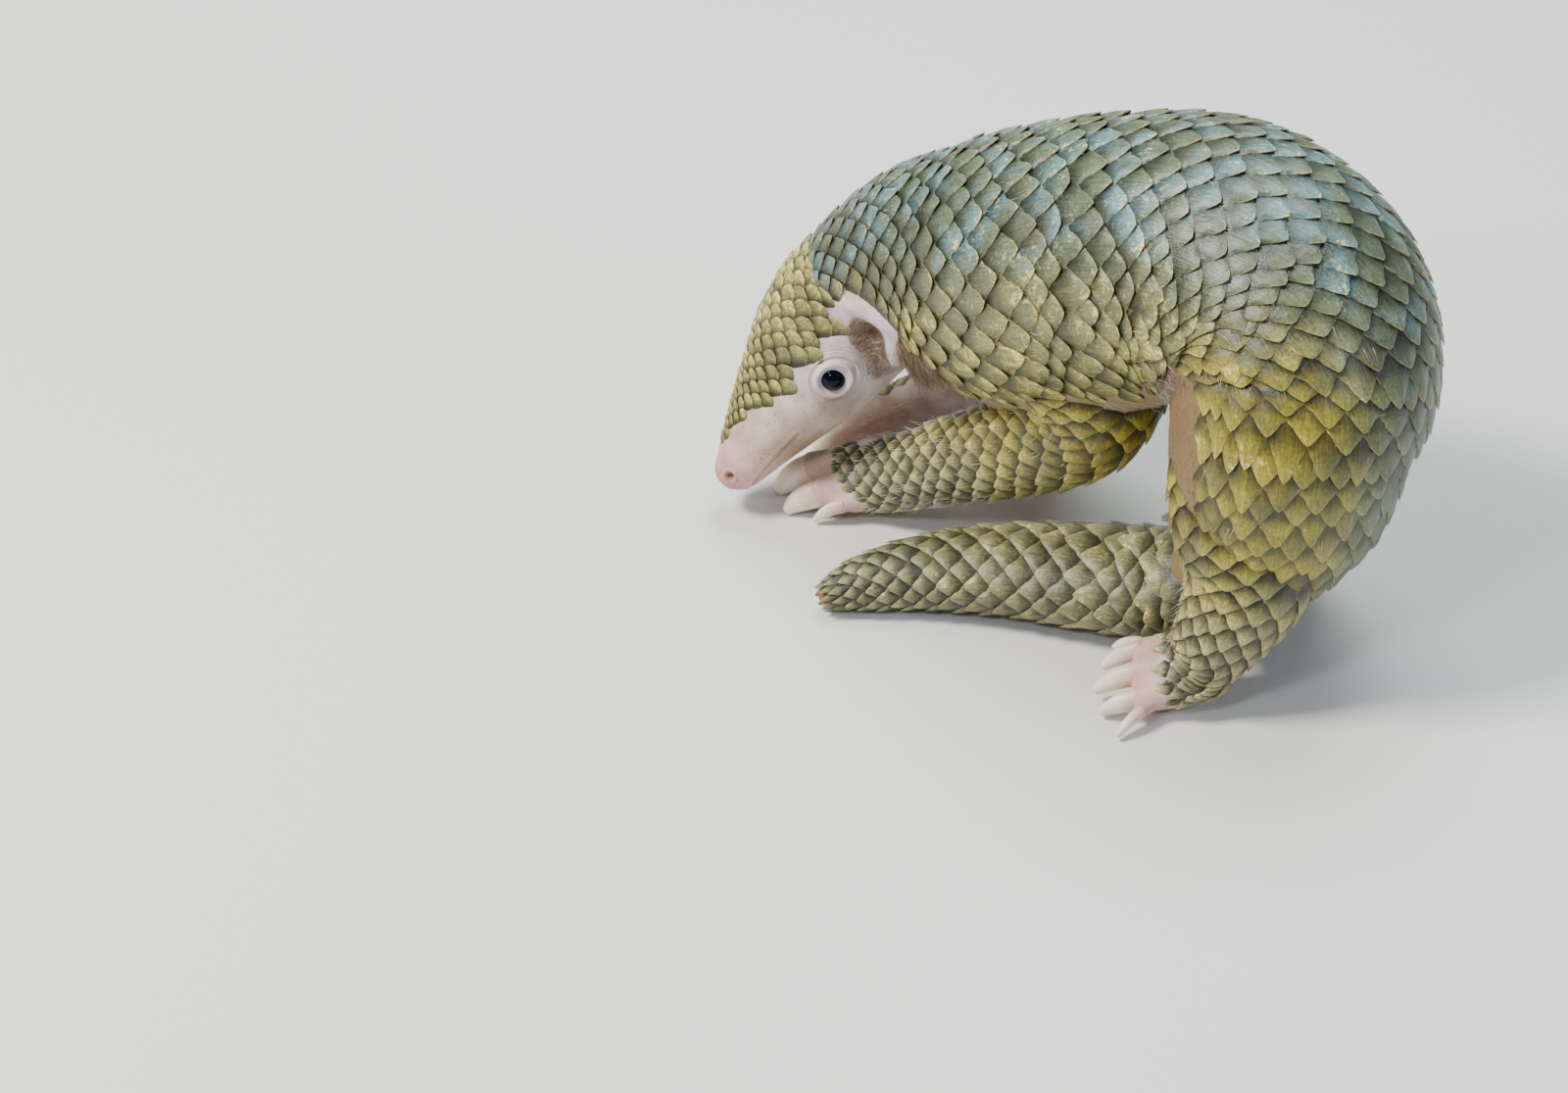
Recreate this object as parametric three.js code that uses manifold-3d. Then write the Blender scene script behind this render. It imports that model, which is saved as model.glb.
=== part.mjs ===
// A young Chinese pangolin (Manis pentadactyla), life size, half curled up on the floor.
// Millimetres, +Z up. The animal stands on its four feet and its tail, which is tucked
// forward between the hind legs; its left side faces -Y and its head points to -X.
import * as THREE from 'three';
import { mergeVertices } from 'three/addons/utils/BufferGeometryUtils.js';
import Module from 'manifold-3d';

const wasm = await Module();
wasm.setup();
const { Manifold, Mesh: SolidMesh } = wasm;
const { lerp, smoothstep } = THREE.MathUtils;

// Width of the gap between neighbouring nodes.
const GAP = 0.3;
// Heights of a scale above the skin: at its hidden root, its side corners and its free tip.
const SCALE_ROOT = 0;
const SCALE_SIDE = 0.65;
const SCALE_TIP = 1.5;
const SCALE_KEEL = 0.3;
const LEAST_RELIEF = 0.05;

// Distance between half rows of scales along the back line.
const TRUNK_PITCH = 10.4;
const NECK_PITCH = 7;
const TAIL_PITCH = 8;
const TAIL_TIP_PITCH = 4.6;
const HEAD_PITCH = 4.4;
const LEG_PITCH = 6.4;
const HEAD_RELIEF = 0.6;
const LEG_RELIEF = 0.55;

// Places on the head are a station number, degrees from the crown line and a height.
const EYE_RADIUS = 5.0;
const EYE_PLACE = 5.5;
const EYE_DEGREES = 87.5;
const EYE_DEPTH = -2.9;
const LID_RADIUS = 5.8;
const LID_THICKNESS = 1.6;
const LID_HEIGHT = -0.4;
const EAR_TRACK = [
  [7.5, 62, 1], [7.8, 74, 7], [7.8, 90, 9], [7.4, 106, 7], [6.6, 116, 1.5],
];
const EAR_RADII = [2, 3.3, 3.6, 3.3, 2.1];
const EAR_CUP_AT = [7.1, 84];
const EAR_CUP_RADIUS = 6;
const EAR_CUP_LIFT = 4;
const NOSTRIL_AT = [1.3, 72];
const NOSTRIL_RADIUS = 1.1;
const MOUTH_TRACK = [[3.6, 112, 0], [2.6, 118, 0], [1.8, 130, 0], [1.4, 160, 0]];
const MOUTH_WIDTH = 0.5;
const CLAW_DEPTH = 1.25;

// Station of the trunk where the neck's scales have grown to full size, and places of the
// cuts between the nodes, each with the reach of the cut beyond the skin.
const NAPE_END = 4;
const TRUNK_CUTS = [[1.0, 4], [2.6, 4], [5.1, 4], [6.8, 6]];
const TAIL_CUTS = [[1.2, 4], [3, 4], [4.6, 4]];
const LEG_CUT_MARGIN = 2;
const CLAW_CUT_MARGIN = 0.8;
const LEG_CUTS = {
  foreleg_left: [3.4, 5.6],
  foreleg_right: [2.9, 5.6],
  hindleg_left: [3.6, 4.8],
  hindleg_right: [3.6, 4.8],
};
const CLAW_CUT = 1.75;
const CLAW_MIDDLE = 3;
// Crumbs of the joins and cuts that are smaller than this, in cubic millimetres, are dropped.
const LEAST_VOLUME = 20;

const SCALE_OLIVE = 0x7d7a63;
const SKIN_PINK = 0xd9b3a8;
const CLAW_CREAM = 0xe6dccb;
const EYE_BLACK = 0x0b0b10;

const DEGREE = Math.PI / 180;

// Stations of the trunk, from inside the head to inside the root of the tail:
// centre, back direction, half width, height above and depth below the centre line.
const TRUNK_STATIONS = [
  { at: [-96, 130, 68], up: [-0.35, 0.1, 1], side: 23, back: 25, belly: 21 },
  { at: [-84, 127, 80], up: [-0.3, 0.1, 1], side: 29, back: 33, belly: 27 },
  { at: [-67, 122, 90], up: [-0.15, 0, 1], side: 36, back: 41, belly: 35 },
  { at: [-46, 112, 97], up: [0, 0, 1], side: 44, back: 48, belly: 44 },
  { at: [-25, 100, 106], up: [0, 0, 1], side: 49, back: 51, belly: 48 },
  { at: [-2, 86, 118], up: [0.1, 0, 1], side: 51, back: 51, belly: 47 },
  { at: [27, 68, 128], up: [0.4, -0.2, 0.9], side: 52, back: 50, belly: 42 },
  { at: [45, 52, 121], up: [0.75, -0.45, 0.5], side: 52, back: 48, belly: 42 },
  { at: [49, 40, 107], up: [0.86, -0.5, 0.1], side: 51, back: 47, belly: 41 },
  { at: [46, 31, 89], up: [0.86, -0.45, -0.25], side: 48, back: 43, belly: 37 },
  { at: [44, 28, 66], up: [0.8, -0.35, -0.5], side: 39, back: 37, belly: 32 },
  { at: [36, 32, 40], up: [0.6, -0.2, -0.8], side: 26, back: 25, belly: 21 },
  { at: [14, 41, 20.5], up: [0.15, -0.05, -1], side: 17, back: 15, belly: 12 },
];

// Stations of the tail, from inside the rump to its tip; its back faces the floor.
const TAIL_STATIONS = [
  { at: [36, 32, 40], up: [0.6, -0.2, -0.8], side: 19, back: 18, belly: 15 },
  { at: [14, 41, 20.5], up: [0.15, -0.05, -1], side: 22, back: 20, belly: 16 },
  { at: [-14, 48, 17], up: [0, 0, -1], side: 21.5, back: 17, belly: 14 },
  { at: [-44, 54, 15], up: [0, 0, -1], side: 18.5, back: 15, belly: 12 },
  { at: [-72, 55, 12.5], up: [0, 0, -1], side: 14.5, back: 12.5, belly: 10 },
  { at: [-94, 51, 10], up: [0, 0, -1], side: 9.5, back: 9.5, belly: 7.5 },
  { at: [-107, 46, 8], up: [0, 0, -1], side: 3.5, back: 4.5, belly: 3 },
];

// Stations of the head, from the tip of the nose to inside the neck.
const HEAD_STATIONS = [
  { at: [-140, 105, 12], up: [-0.7, 0.1, 0.6], side: 3.5, back: 3.5, belly: 3.5 },
  { at: [-138, 106, 14.5], up: [-0.7, 0.1, 0.6], side: 7.5, back: 7, belly: 7 },
  { at: [-133, 108, 20], up: [-0.7, 0.1, 0.6], side: 10, back: 11, belly: 9.5 },
  { at: [-127, 111, 27], up: [-0.7, 0.1, 0.6], side: 12.5, back: 15, belly: 12 },
  { at: [-118, 115, 38], up: [-0.7, 0.1, 0.6], side: 17, back: 21, belly: 16 },
  { at: [-109, 119, 49], up: [-0.7, 0.1, 0.7], side: 22, back: 26.5, belly: 20 },
  { at: [-100, 124, 61], up: [-0.6, 0.1, 0.8], side: 26, back: 30, belly: 23.5 },
  { at: [-90, 129, 73], up: [-0.5, 0.1, 0.9], side: 28, back: 31, belly: 25 },
  { at: [-80, 130, 83], up: [-0.3, 0.1, 1], side: 25, back: 27, belly: 23 },
];

// Roughly the middle of each node, by which the parted pieces get their names.
const NODE_MIDDLES = {
  head: [-105, 126, 58],
  neck: [-69, 118, 97],
  torso_front: [-22, 100, 100],
  torso_middle: [30, 62, 125],
  rump: [40, 38, 65],
  tail_base: [-15, 47, 17],
  tail_middle: [-65, 54, 13],
  tail_tip: [-96, 53, 10],
  foreleg_left: [-62, 93, 31],
  foreleg_right: [-50, 147, 29],
  hand_left: [-99, 111, 12],
  hand_right: [-90, 146, 12],
  hindleg_left: [22, 1, 16],
  hindleg_right: [47, 78, 15],
  foot_left: [8, 3, 12],
  foot_right: [37, 89, 11],
};

// Toes of each paw, the first one nearest to the left side of the animal.
const TOES = {
  fore_left: [
    { root: [-92, 98, 8], tip: [-108, 97, 2], radius: 2.2 },
    { root: [-98, 104, 9], tip: [-118, 103, 1.6], radius: 4.3 },
    { root: [-99, 114.5, 11], tip: [-121, 115, 1.6], radius: 5.3 },
    { root: [-97, 123, 8], tip: [-114, 125, 1.2], radius: 3 },
    { root: [-91, 120.5, 9], tip: [-97, 134, 1.5], radius: 2 },
  ],
  fore_right: [
    { root: [-84, 158.5, 7], tip: [-97, 164, 1.5], radius: 2.1 },
    { root: [-90, 156.5, 8], tip: [-106, 160, 1.5], radius: 2.8 },
    { root: [-88, 149, 10], tip: [-111, 150, 1.2], radius: 5 },
    { root: [-86, 139.5, 8], tip: [-108, 139, 1.2], radius: 4 },
    { root: [-84, 137.5, 8], tip: [-92, 126, 1.5], radius: 1.9 },
  ],
  hind_left: [
    { root: [5, -9.5, 7], tip: [-8, -21, 2], radius: 2 },
    { root: [9, -8, 8], tip: [-13, -9, 2.5], radius: 3.2 },
    { root: [9, 0, 12], tip: [-14, 0, 4.5], radius: 3.6 },
    { root: [8, 8.5, 14], tip: [-11, 10, 6.5], radius: 3.1 },
    { root: [7, 13, 12], tip: [-7, 20, 7], radius: 2.1 },
  ],
  hind_right: [
    { root: [33, 82, 11], tip: [15, 94, 5], radius: 2.6 },
    { root: [36, 88, 12], tip: [19, 104, 4.5], radius: 3.3 },
    { root: [42, 94, 11], tip: [28, 112, 3.5], radius: 3.3 },
    { root: [49, 95, 8], tip: [40, 112, 2.5], radius: 2.6 },
    { root: [49, 91.5, 7], tip: [60, 104, 2], radius: 2 },
  ],
};

const FORELEG_LEFT = [
  { at: [-30, 86, 98], up: [0, -1, 0.2], side: 22, back: 18, belly: 18 },
  { at: [-15, 70, 86], up: [0, -1, 0.3], side: 27, back: 20, belly: 19 },
  { at: [-16, 68, 70], up: [0.2, -1, 0.3], side: 22, back: 18, belly: 17 },
  { at: [-39, 80, 48], up: [0, -1, 0.6], side: 18, back: 15.5, belly: 15 },
  { at: [-64, 95, 29], up: [0, -1, 0.9], side: 15, back: 12.5, belly: 12.5 },
  { at: [-82, 105, 17], up: [-0.1, -0.9, 1], side: 14, back: 11, belly: 11 },
  { at: [-97, 111, 11], up: [-0.2, -0.6, 1], side: 13, back: 9.5, belly: 10 },
  { at: [-104, 112, 9], up: [-0.2, -0.5, 1], side: 11, back: 8, belly: 9 },
];

const FORELEG_RIGHT = [
  { at: [-18, 130, 96], up: [0.5, 0.8, 0.2], side: 18, back: 16, belly: 16 },
  { at: [-14, 139, 78], up: [0.5, 0.9, 0.3], side: 20, back: 17, belly: 17 },
  { at: [-16, 142, 62], up: [0.5, 0.9, 0.3], side: 17, back: 15, belly: 15 },
  { at: [-31, 146, 43], up: [0.3, 0.9, 0.6], side: 15.5, back: 14, belly: 14 },
  { at: [-50, 148, 27], up: [0.2, 0.9, 0.9], side: 14.5, back: 12, belly: 12 },
  { at: [-70, 149, 16], up: [0.1, 0.8, 1], side: 13.5, back: 10.5, belly: 10.5 },
  { at: [-86, 148, 11], up: [0, 0.5, 1], side: 12.5, back: 9.5, belly: 10 },
  { at: [-94, 147, 9], up: [0, 0.4, 1], side: 10.5, back: 8, belly: 9 },
];

const HINDLEG_LEFT = [
  { at: [34, 30, 92], up: [0.2, -1, 0.3], side: 27, back: 22, belly: 22 },
  { at: [35, 16, 70], up: [0.2, -1, 0.1], side: 27, back: 23, belly: 20 },
  { at: [35, 7, 48], up: [0.2, -1, 0.3], side: 22, back: 19, belly: 17 },
  { at: [27, 1, 30], up: [0.4, -0.8, 0.5], side: 16.5, back: 14, belly: 13 },
  { at: [20, 0, 18], up: [0.6, -0.4, 0.8], side: 13.5, back: 11, belly: 12 },
  { at: [12, 2, 12.5], up: [0.3, -0.35, 1], side: 14, back: 8.5, belly: 12 },
  { at: [3, 3, 11], up: [0.2, -0.35, 1], side: 13.5, back: 6.5, belly: 10.5 },
];

const HINDLEG_RIGHT = [
  { at: [50, 48, 90], up: [0.7, 0.7, 0], side: 27, back: 22, belly: 22 },
  { at: [55, 60, 68], up: [0.6, 0.8, 0.1], side: 28, back: 22, belly: 20 },
  { at: [57, 68, 46], up: [0.6, 0.8, 0.3], side: 22, back: 17, belly: 16 },
  { at: [52, 74, 29], up: [0.7, 0.5, 0.5], side: 15.5, back: 13.5, belly: 12.5 },
  { at: [47, 78, 17], up: [0.7, 0.1, 0.8], side: 13, back: 11, belly: 12 },
  { at: [41, 84, 12], up: [0.3, -0.1, 1], side: 13.5, back: 8.5, belly: 12 },
  { at: [35, 91, 10.5], up: [0.2, -0.1, 1], side: 13, back: 6.5, belly: 10.5 },
];

// A bent body of revolution: its centre line, back direction and section sizes run smoothly
// through the stations, so that a place on it is a station number with a fraction.
class Spine {
  constructor(stations) {
    this.last = stations.length - 1;
    const through = (points, kind) => new THREE.CatmullRomCurve3(points, false, kind, 0.5);
    this.centres = through(stations.map((s) => new THREE.Vector3(...s.at)), 'centripetal');
    this.ups = through(stations.map((s) => new THREE.Vector3(...s.up)), 'catmullrom');
    const sizes = stations.map((s) => new THREE.Vector3(s.side, s.back, s.belly));
    this.sizes = through(sizes, 'catmullrom');
  }

  section(place) {
    const t = THREE.MathUtils.clamp(place / this.last, 0, 1);
    const centre = this.centres.getPoint(t);
    const before = this.centres.getPoint(Math.max(t - 0.002, 0));
    const after = this.centres.getPoint(Math.min(t + 0.002, 1));
    const along = after.sub(before).normalize();
    const up = this.ups.getPoint(t);
    up.addScaledVector(along, -up.dot(along)).normalize();
    const left = new THREE.Vector3().crossVectors(along, up);
    const size = this.sizes.getPoint(t);
    return { centre, along, up, left, side: size.x, back: size.y, belly: size.z };
  }

  // A point on the skin, the angle counted from the back line towards the left flank.
  skin(place, angle, height = 0) {
    const s = this.section(place);
    const depth = Math.cos(angle) > 0 ? s.back : s.belly;
    const normal = new THREE.Vector3()
      .addScaledVector(s.up, Math.cos(angle) / depth)
      .addScaledVector(s.left, Math.sin(angle) / s.side)
      .normalize();
    return s.centre
      .addScaledVector(s.up, Math.cos(angle) * depth)
      .addScaledVector(s.left, Math.sin(angle) * s.side)
      .addScaledVector(normal, height);
  }

  // Places of the half rows of scales, spaced by a pitch along the back line.
  rows(pitch) {
    const steps = 60 * this.last;
    const places = [0];
    let travelled = 0;
    let from = this.skin(0, 0);
    for (let i = 1; i <= steps; i++) {
      const place = (this.last * i) / steps;
      const to = this.skin(place, 0);
      travelled += from.distanceTo(to);
      from = to;
      if (travelled >= pitch(place)) {
        places.push(place);
        travelled = 0;
      }
    }
    places[places.length - 1] = this.last;
    return places;
  }
}

// Angles of the columns of scales: an even number in all, most of them over the back.
function columnAngles(scaled, bare, reach) {
  const angles = [];
  for (let j = 0; j < scaled; j++) {
    angles.push(reach * (-1 + (2 * j) / (scaled - 1)));
  }
  for (let j = 1; j <= bare; j++) {
    angles.push(reach + ((2 * Math.PI - 2 * reach) * j) / (bare + 1));
  }
  return angles;
}

function solidOfParts(positions, triangles) {
  const make = (faces) => {
    const mesh = new SolidMesh({
      numProp: 3,
      vertProperties: new Float32Array(positions),
      triVerts: new Uint32Array(faces),
    });
    return new Manifold(mesh);
  };
  const solid = make(triangles);
  if (solid.volume() > 0) return solid;
  const turned = [];
  for (let i = 0; i < triangles.length; i += 3) {
    turned.push(triangles[i], triangles[i + 2], triangles[i + 1]);
  }
  return make(turned);
}

function solidOfGeometry(geometry) {
  const bare = geometry.clone();
  bare.deleteAttribute('normal');
  bare.deleteAttribute('uv');
  const merged = mergeVertices(bare, 1e-4);
  return solidOfParts(merged.attributes.position.array, merged.index.array);
}

// A closed tube whose skin carries overlapping scales on a staggered lattice. Where the
// relief is nought the skin is plain.
function scaledTube(spine, places, angles, relief) {
  const positions = [];
  const triangles = [];
  const count = angles.length;
  const last = places.length - 1;
  const turn = (j) => (j + count) % count;

  const add = (point) => {
    positions.push(point.x, point.y, point.z);
    return positions.length / 3 - 1;
  };
  const face = (...ids) => {
    for (let k = 1; k + 1 < ids.length; k++) {
      const [a, b, c] = [ids[0], ids[k], ids[k + 1]];
      if (a !== b && b !== c && c !== a) triangles.push(a, b, c);
    }
  };
  const reliefAt = (i, j) => {
    const edge = i < 2 || i > last - 2;
    const height = edge ? 0 : relief(places[i], angles[turn(j)]);
    return height < LEAST_RELIEF ? 0 : height;
  };
  const corners = new Map();
  for (let i = 0; i <= last; i++) {
    for (let j = i % 2; j < count; j += 2) {
      const height = reliefAt(i, j);
      const at = (level) => add(spine.skin(places[i], angles[j], height * level));
      const root = at(SCALE_ROOT);
      const corner = height === 0 ? [root, root, root] : [root, at(SCALE_SIDE), at(SCALE_TIP)];
      corners.set(`${i},${j}`, corner);
    }
  }
  const corner = (i, j) => corners.get(`${i},${turn(j)}`);

  for (let i = 0; i < last; i++) {
    for (let j = i % 2; j < count; j += 2) {
      for (const step of [1, -1]) {
        const [root, side] = corner(i, j);
        const [, nextSide, nextTip] = corner(i + 1, j + step);
        const wall = [root, nextSide, nextTip, side];
        face(...(step < 0 ? wall : wall.reverse()));
      }
    }
  }

  for (let i = 1; i < last; i++) {
    for (let j = (i + 1) % 2; j < count; j += 2) {
      const [root] = corner(i - 1, j);
      const [, right] = corner(i, j + 1);
      const [, , tip] = corner(i + 1, j);
      const [, left] = corner(i, j - 1);
      const height = (reliefAt(i - 1, j) + reliefAt(i + 1, j)) / 2;
      if (height === 0) {
        face(root, right, tip, left);
        continue;
      }
      const keel = SCALE_SIDE + SCALE_KEEL;
      const middle = add(spine.skin(places[i], angles[j], height * keel));
      face(middle, root, right);
      face(middle, right, tip);
      face(middle, tip, left);
      face(middle, left, root);
    }
  }

  for (const [i, reach] of [[0, -1], [last, 1]]) {
    const s = spine.section(places[i]);
    const pole = add(s.centre.addScaledVector(s.along, reach * Math.min(s.side, 6) * 0.5));
    const inner = i === 0 ? 1 : last - 1;
    for (let j = i % 2; j < count; j += 2) {
      const tip = corner(i, j)[0];
      const before = corner(inner, j - 1)[0];
      const after = corner(inner, j + 1)[0];
      face(...(reach < 0 ? [pole, after, tip] : [pole, tip, after]));
      face(...(reach < 0 ? [pole, tip, before] : [pole, before, tip]));
    }
  }
  return solidOfParts(positions, triangles);
}

// A smooth closed tube through a few points with one radius at each.
function plainTube(points, radii, up, around, along) {
  const station = (at, i) => ({ at, up, side: radii[i], back: radii[i], belly: radii[i] });
  const spine = new Spine(points.map(station));
  const places = [];
  for (let i = 0; i <= along; i++) places.push((spine.last * i) / along);
  const angles = [];
  for (let j = 0; j < around; j++) angles.push((2 * Math.PI * j) / around);
  return scaledTube(spine, places, angles, () => 0);
}

function placed(geometry, centre, axis) {
  const turn = new THREE.Quaternion().setFromUnitVectors(new THREE.Vector3(0, 1, 0), axis);
  geometry.applyQuaternion(turn);
  geometry.translate(centre.x, centre.y, centre.z);
  return solidOfGeometry(geometry);
}

// A thin elliptic disc across a tube, which parts it there.
function cutAcross(spine, place, margin) {
  const s = spine.section(place);
  const disc = new THREE.CylinderGeometry(1, 1, GAP, 16);
  const depth = Math.max(s.back, s.belly) + margin;
  const basis = new THREE.Matrix4().makeBasis(
    s.left.clone().multiplyScalar(s.side + margin),
    s.along,
    s.up.clone().multiplyScalar(depth),
  );
  disc.applyMatrix4(basis.setPosition(s.centre));
  return solidOfGeometry(disc);
}

const roundAngle = (angle) => Math.abs(Math.atan2(Math.sin(angle), Math.cos(angle)));
const within = (angle, reach) => 1 - smoothstep(roundAngle(angle), reach - 0.06, reach + 0.06);

// Trunk, with a bare belly.
const trunkSpine = new Spine(TRUNK_STATIONS);
const trunkPitch = (place) => lerp(NECK_PITCH, TRUNK_PITCH, Math.min(place / NAPE_END, 1));
const trunkRelief = (place, angle) => {
  const size = 0.65 + 0.35 * smoothstep(place, 0, 3);
  return within(angle, 118 * DEGREE) * size;
};
const trunkColumns = columnAngles(19, 3, 122 * DEGREE);
const trunk = scaledTube(trunkSpine, trunkSpine.rows(trunkPitch), trunkColumns, trunkRelief);

// Tail, scaled all round, with scales that shorten towards its tip.
const tailSpine = new Spine(TAIL_STATIONS);
const tailPitch = (place) => lerp(TAIL_PITCH, TAIL_TIP_PITCH, place / tailSpine.last);
const tailRelief = (place) => 1 - 0.4 * smoothstep(place, 1, tailSpine.last);
const tailColumns = columnAngles(14, 0, 180 * DEGREE * (13 / 14));
const tail = scaledTube(tailSpine, tailSpine.rows(tailPitch), tailColumns, tailRelief);

// Head: scales on the crown, running to a point on the bridge of the nose.
const headSpine = new Spine(HEAD_STATIONS);
const headRelief = (place, angle) => {
  const reach = (20 + 48 * smoothstep(place, 2.4, 4.4)) * DEGREE;
  return HEAD_RELIEF * within(angle, reach) * smoothstep(place, 2.2, 2.8);
};
const headColumns = columnAngles(13, 3, 105 * DEGREE);
const headTube = scaledTube(headSpine, headSpine.rows(() => HEAD_PITCH), headColumns, headRelief);

const SIDES = [['left', 1], ['right', -1]];

function headPoint(place, degrees, side, height) {
  return headSpine.skin(place, degrees * DEGREE * side, height);
}

function headNormal(place, degrees, side) {
  const out = headPoint(place, degrees, side, 1);
  return out.sub(headPoint(place, degrees, side, 0)).normalize();
}

function eyeCentre(side) {
  return headPoint(EYE_PLACE, EYE_DEGREES, side, EYE_DEPTH);
}

function eyeBall(side, radius) {
  const ball = new THREE.SphereGeometry(radius, 12, 8);
  return placed(ball, eyeCentre(side), headNormal(EYE_PLACE, EYE_DEGREES, side));
}

function lids(side) {
  const ring = new THREE.TorusGeometry(LID_RADIUS, LID_THICKNESS, 5, 12);
  ring.rotateX(Math.PI / 2);
  const normal = headNormal(EYE_PLACE, EYE_DEGREES, side);
  return placed(ring, headPoint(EYE_PLACE, EYE_DEGREES, side, LID_HEIGHT), normal);
}

function alongHead(track, side) {
  return track.map(([place, degrees, height]) => headPoint(place, degrees, side, height).toArray());
}

function earFold(side, clearance) {
  const radii = EAR_RADII.map((radius) => radius + clearance);
  return plainTube(alongHead(EAR_TRACK, side), radii, [-0.4, -side, 0.4], 6, 8);
}

function earCup(side) {
  const cup = new THREE.SphereGeometry(EAR_CUP_RADIUS, 10, 6);
  return placed(cup, headPoint(...EAR_CUP_AT, side, EAR_CUP_LIFT), new THREE.Vector3(0, 1, 0));
}

function nostril(side) {
  const hole = new THREE.SphereGeometry(NOSTRIL_RADIUS, 8, 5);
  hole.scale(1, 1.7, 0.8);
  return placed(hole, headPoint(...NOSTRIL_AT, side, -0.3), headNormal(...NOSTRIL_AT, side));
}

// The line of the mouth runs along both cheeks and round below the nose.
function mouthLine() {
  const half = alongHead(MOUTH_TRACK, 1);
  const other = alongHead(MOUTH_TRACK, -1).reverse();
  const points = [...half, ...other];
  return plainTube(points, points.map(() => MOUTH_WIDTH), [0.7, 0, 0.7], 4, 14);
}

let head = headTube;
for (const [, side] of SIDES) head = head.add(lids(side));
for (const [, side] of SIDES) head = head.subtract(eyeBall(side, EYE_RADIUS + GAP));
for (const [, side] of SIDES) head = head.subtract(nostril(side));
head = head.subtract(mouthLine());

// Legs: scaled outside, bare inside.
function leg(stations, reach) {
  const spine = new Spine(stations);
  const relief = (place, angle) => LEG_RELIEF * within(angle, reach * DEGREE);
  const columns = columnAngles(9, 3, 110 * DEGREE);
  return { spine, solid: scaledTube(spine, spine.rows(() => LEG_PITCH), columns, relief) };
}

const legs = {
  foreleg_left: leg(FORELEG_LEFT, 100),
  foreleg_right: leg(FORELEG_RIGHT, 100),
  hindleg_left: leg(HINDLEG_LEFT, 100),
  hindleg_right: leg(HINDLEG_RIGHT, 100),
};

// Claws, each with its toe: a hooked cone from the toe's root to the claw's tip.
function clawSpine(root, tip, radius) {
  const from = new THREE.Vector3(...root);
  const to = new THREE.Vector3(...tip);
  const over = from.clone().lerp(to, 0.6);
  over.z = from.z + 0.25 * (from.z - to.z);
  const hook = new THREE.QuadraticBezierCurve3(from, over, to);
  const shares = [1, 1.05, 0.97, 0.78, 0.36];
  const across = new THREE.Vector3(to.y - from.y, from.x - to.x, 0).normalize();
  const stations = hook.getPoints(4).map((point, i) => ({
    at: point.toArray(),
    up: across.toArray(),
    side: radius * shares[i] * CLAW_DEPTH,
    back: radius * shares[i],
    belly: radius * shares[i],
  }));
  return new Spine(stations);
}

const clawAngles = columnAngles(6, 0, 150 * DEGREE);
const clawPlaces = [0, 1, 2, 3, 4];

const claws = {};
for (const [paw, toes] of Object.entries(TOES)) {
  toes.forEach(({ root, tip, radius }, i) => {
    const spine = clawSpine(root, tip, radius);
    const solid = scaledTube(spine, clawPlaces, clawAngles, () => 0);
    claws[`claw_${paw}_${i + 1}`] = { spine, solid };
  });
}

// The whole animal in one piece, set on the floor, then parted by thin cuts.
let whole = trunk.add(tail).add(head);
for (const [, side] of SIDES) whole = whole.subtract(earCup(side)).subtract(earFold(side, GAP));
for (const { solid } of Object.values(legs)) whole = whole.add(solid);
for (const { solid } of Object.values(claws)) whole = whole.add(solid);
const room = new THREE.BoxGeometry(600, 600, 400);
room.translate(0, 0, 200);
whole = whole.intersect(solidOfGeometry(room));

const cuts = [];
for (const [place, margin] of TRUNK_CUTS) cuts.push(cutAcross(trunkSpine, place, margin));
for (const [place, margin] of TAIL_CUTS) cuts.push(cutAcross(tailSpine, place, margin));
for (const [name, places] of Object.entries(LEG_CUTS)) {
  for (const place of places) cuts.push(cutAcross(legs[name].spine, place, LEG_CUT_MARGIN));
}
for (const { spine } of Object.values(claws)) cuts.push(cutAcross(spine, CLAW_CUT, CLAW_CUT_MARGIN));
for (const cut of cuts) whole = whole.subtract(cut);

const pieces = whole.decompose().filter((solid) => solid.volume() > LEAST_VOLUME);
const middleOf = (solid) => {
  const { min, max } = solid.boundingBox();
  return new THREE.Vector3(...min).add(new THREE.Vector3(...max)).multiplyScalar(0.5);
};

function pieceAt(point) {
  const distance = (solid) => middleOf(solid).distanceTo(point);
  return pieces.reduce((best, solid) => (distance(solid) < distance(best) ? solid : best));
}

const group = new THREE.Group();
group.name = 'pangolin';

function addNode(name, solid, colour) {
  const { vertProperties, triVerts, numProp } = solid.getMesh();
  const points = [];
  for (let i = 0; i < vertProperties.length; i += numProp) {
    points.push(vertProperties[i], vertProperties[i + 1], vertProperties[i + 2]);
  }
  const geometry = new THREE.BufferGeometry();
  geometry.setAttribute('position', new THREE.Float32BufferAttribute(points, 3));
  geometry.setIndex(Array.from(triVerts));
  geometry.computeVertexNormals();
  const material = new THREE.MeshStandardMaterial({ color: colour, roughness: 0.7 });
  const mesh = new THREE.Mesh(geometry, material);
  mesh.name = name;
  group.add(mesh);
}

const BARE_NODES = ['hand_left', 'hand_right', 'foot_left', 'foot_right'];
for (const [name, middle] of Object.entries(NODE_MIDDLES)) {
  const colour = BARE_NODES.includes(name) ? SKIN_PINK : SCALE_OLIVE;
  addNode(name, pieceAt(new THREE.Vector3(...middle)), colour);
}
for (const [name, { spine }] of Object.entries(claws)) {
  addNode(name, pieceAt(spine.section(CLAW_MIDDLE).centre), CLAW_CREAM);
}
for (const [name, side] of SIDES) {
  addNode(`eye_${name}`, eyeBall(side, EYE_RADIUS), EYE_BLACK);
  addNode(`ear_${name}`, earFold(side, 0), SKIN_PINK);
}

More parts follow.
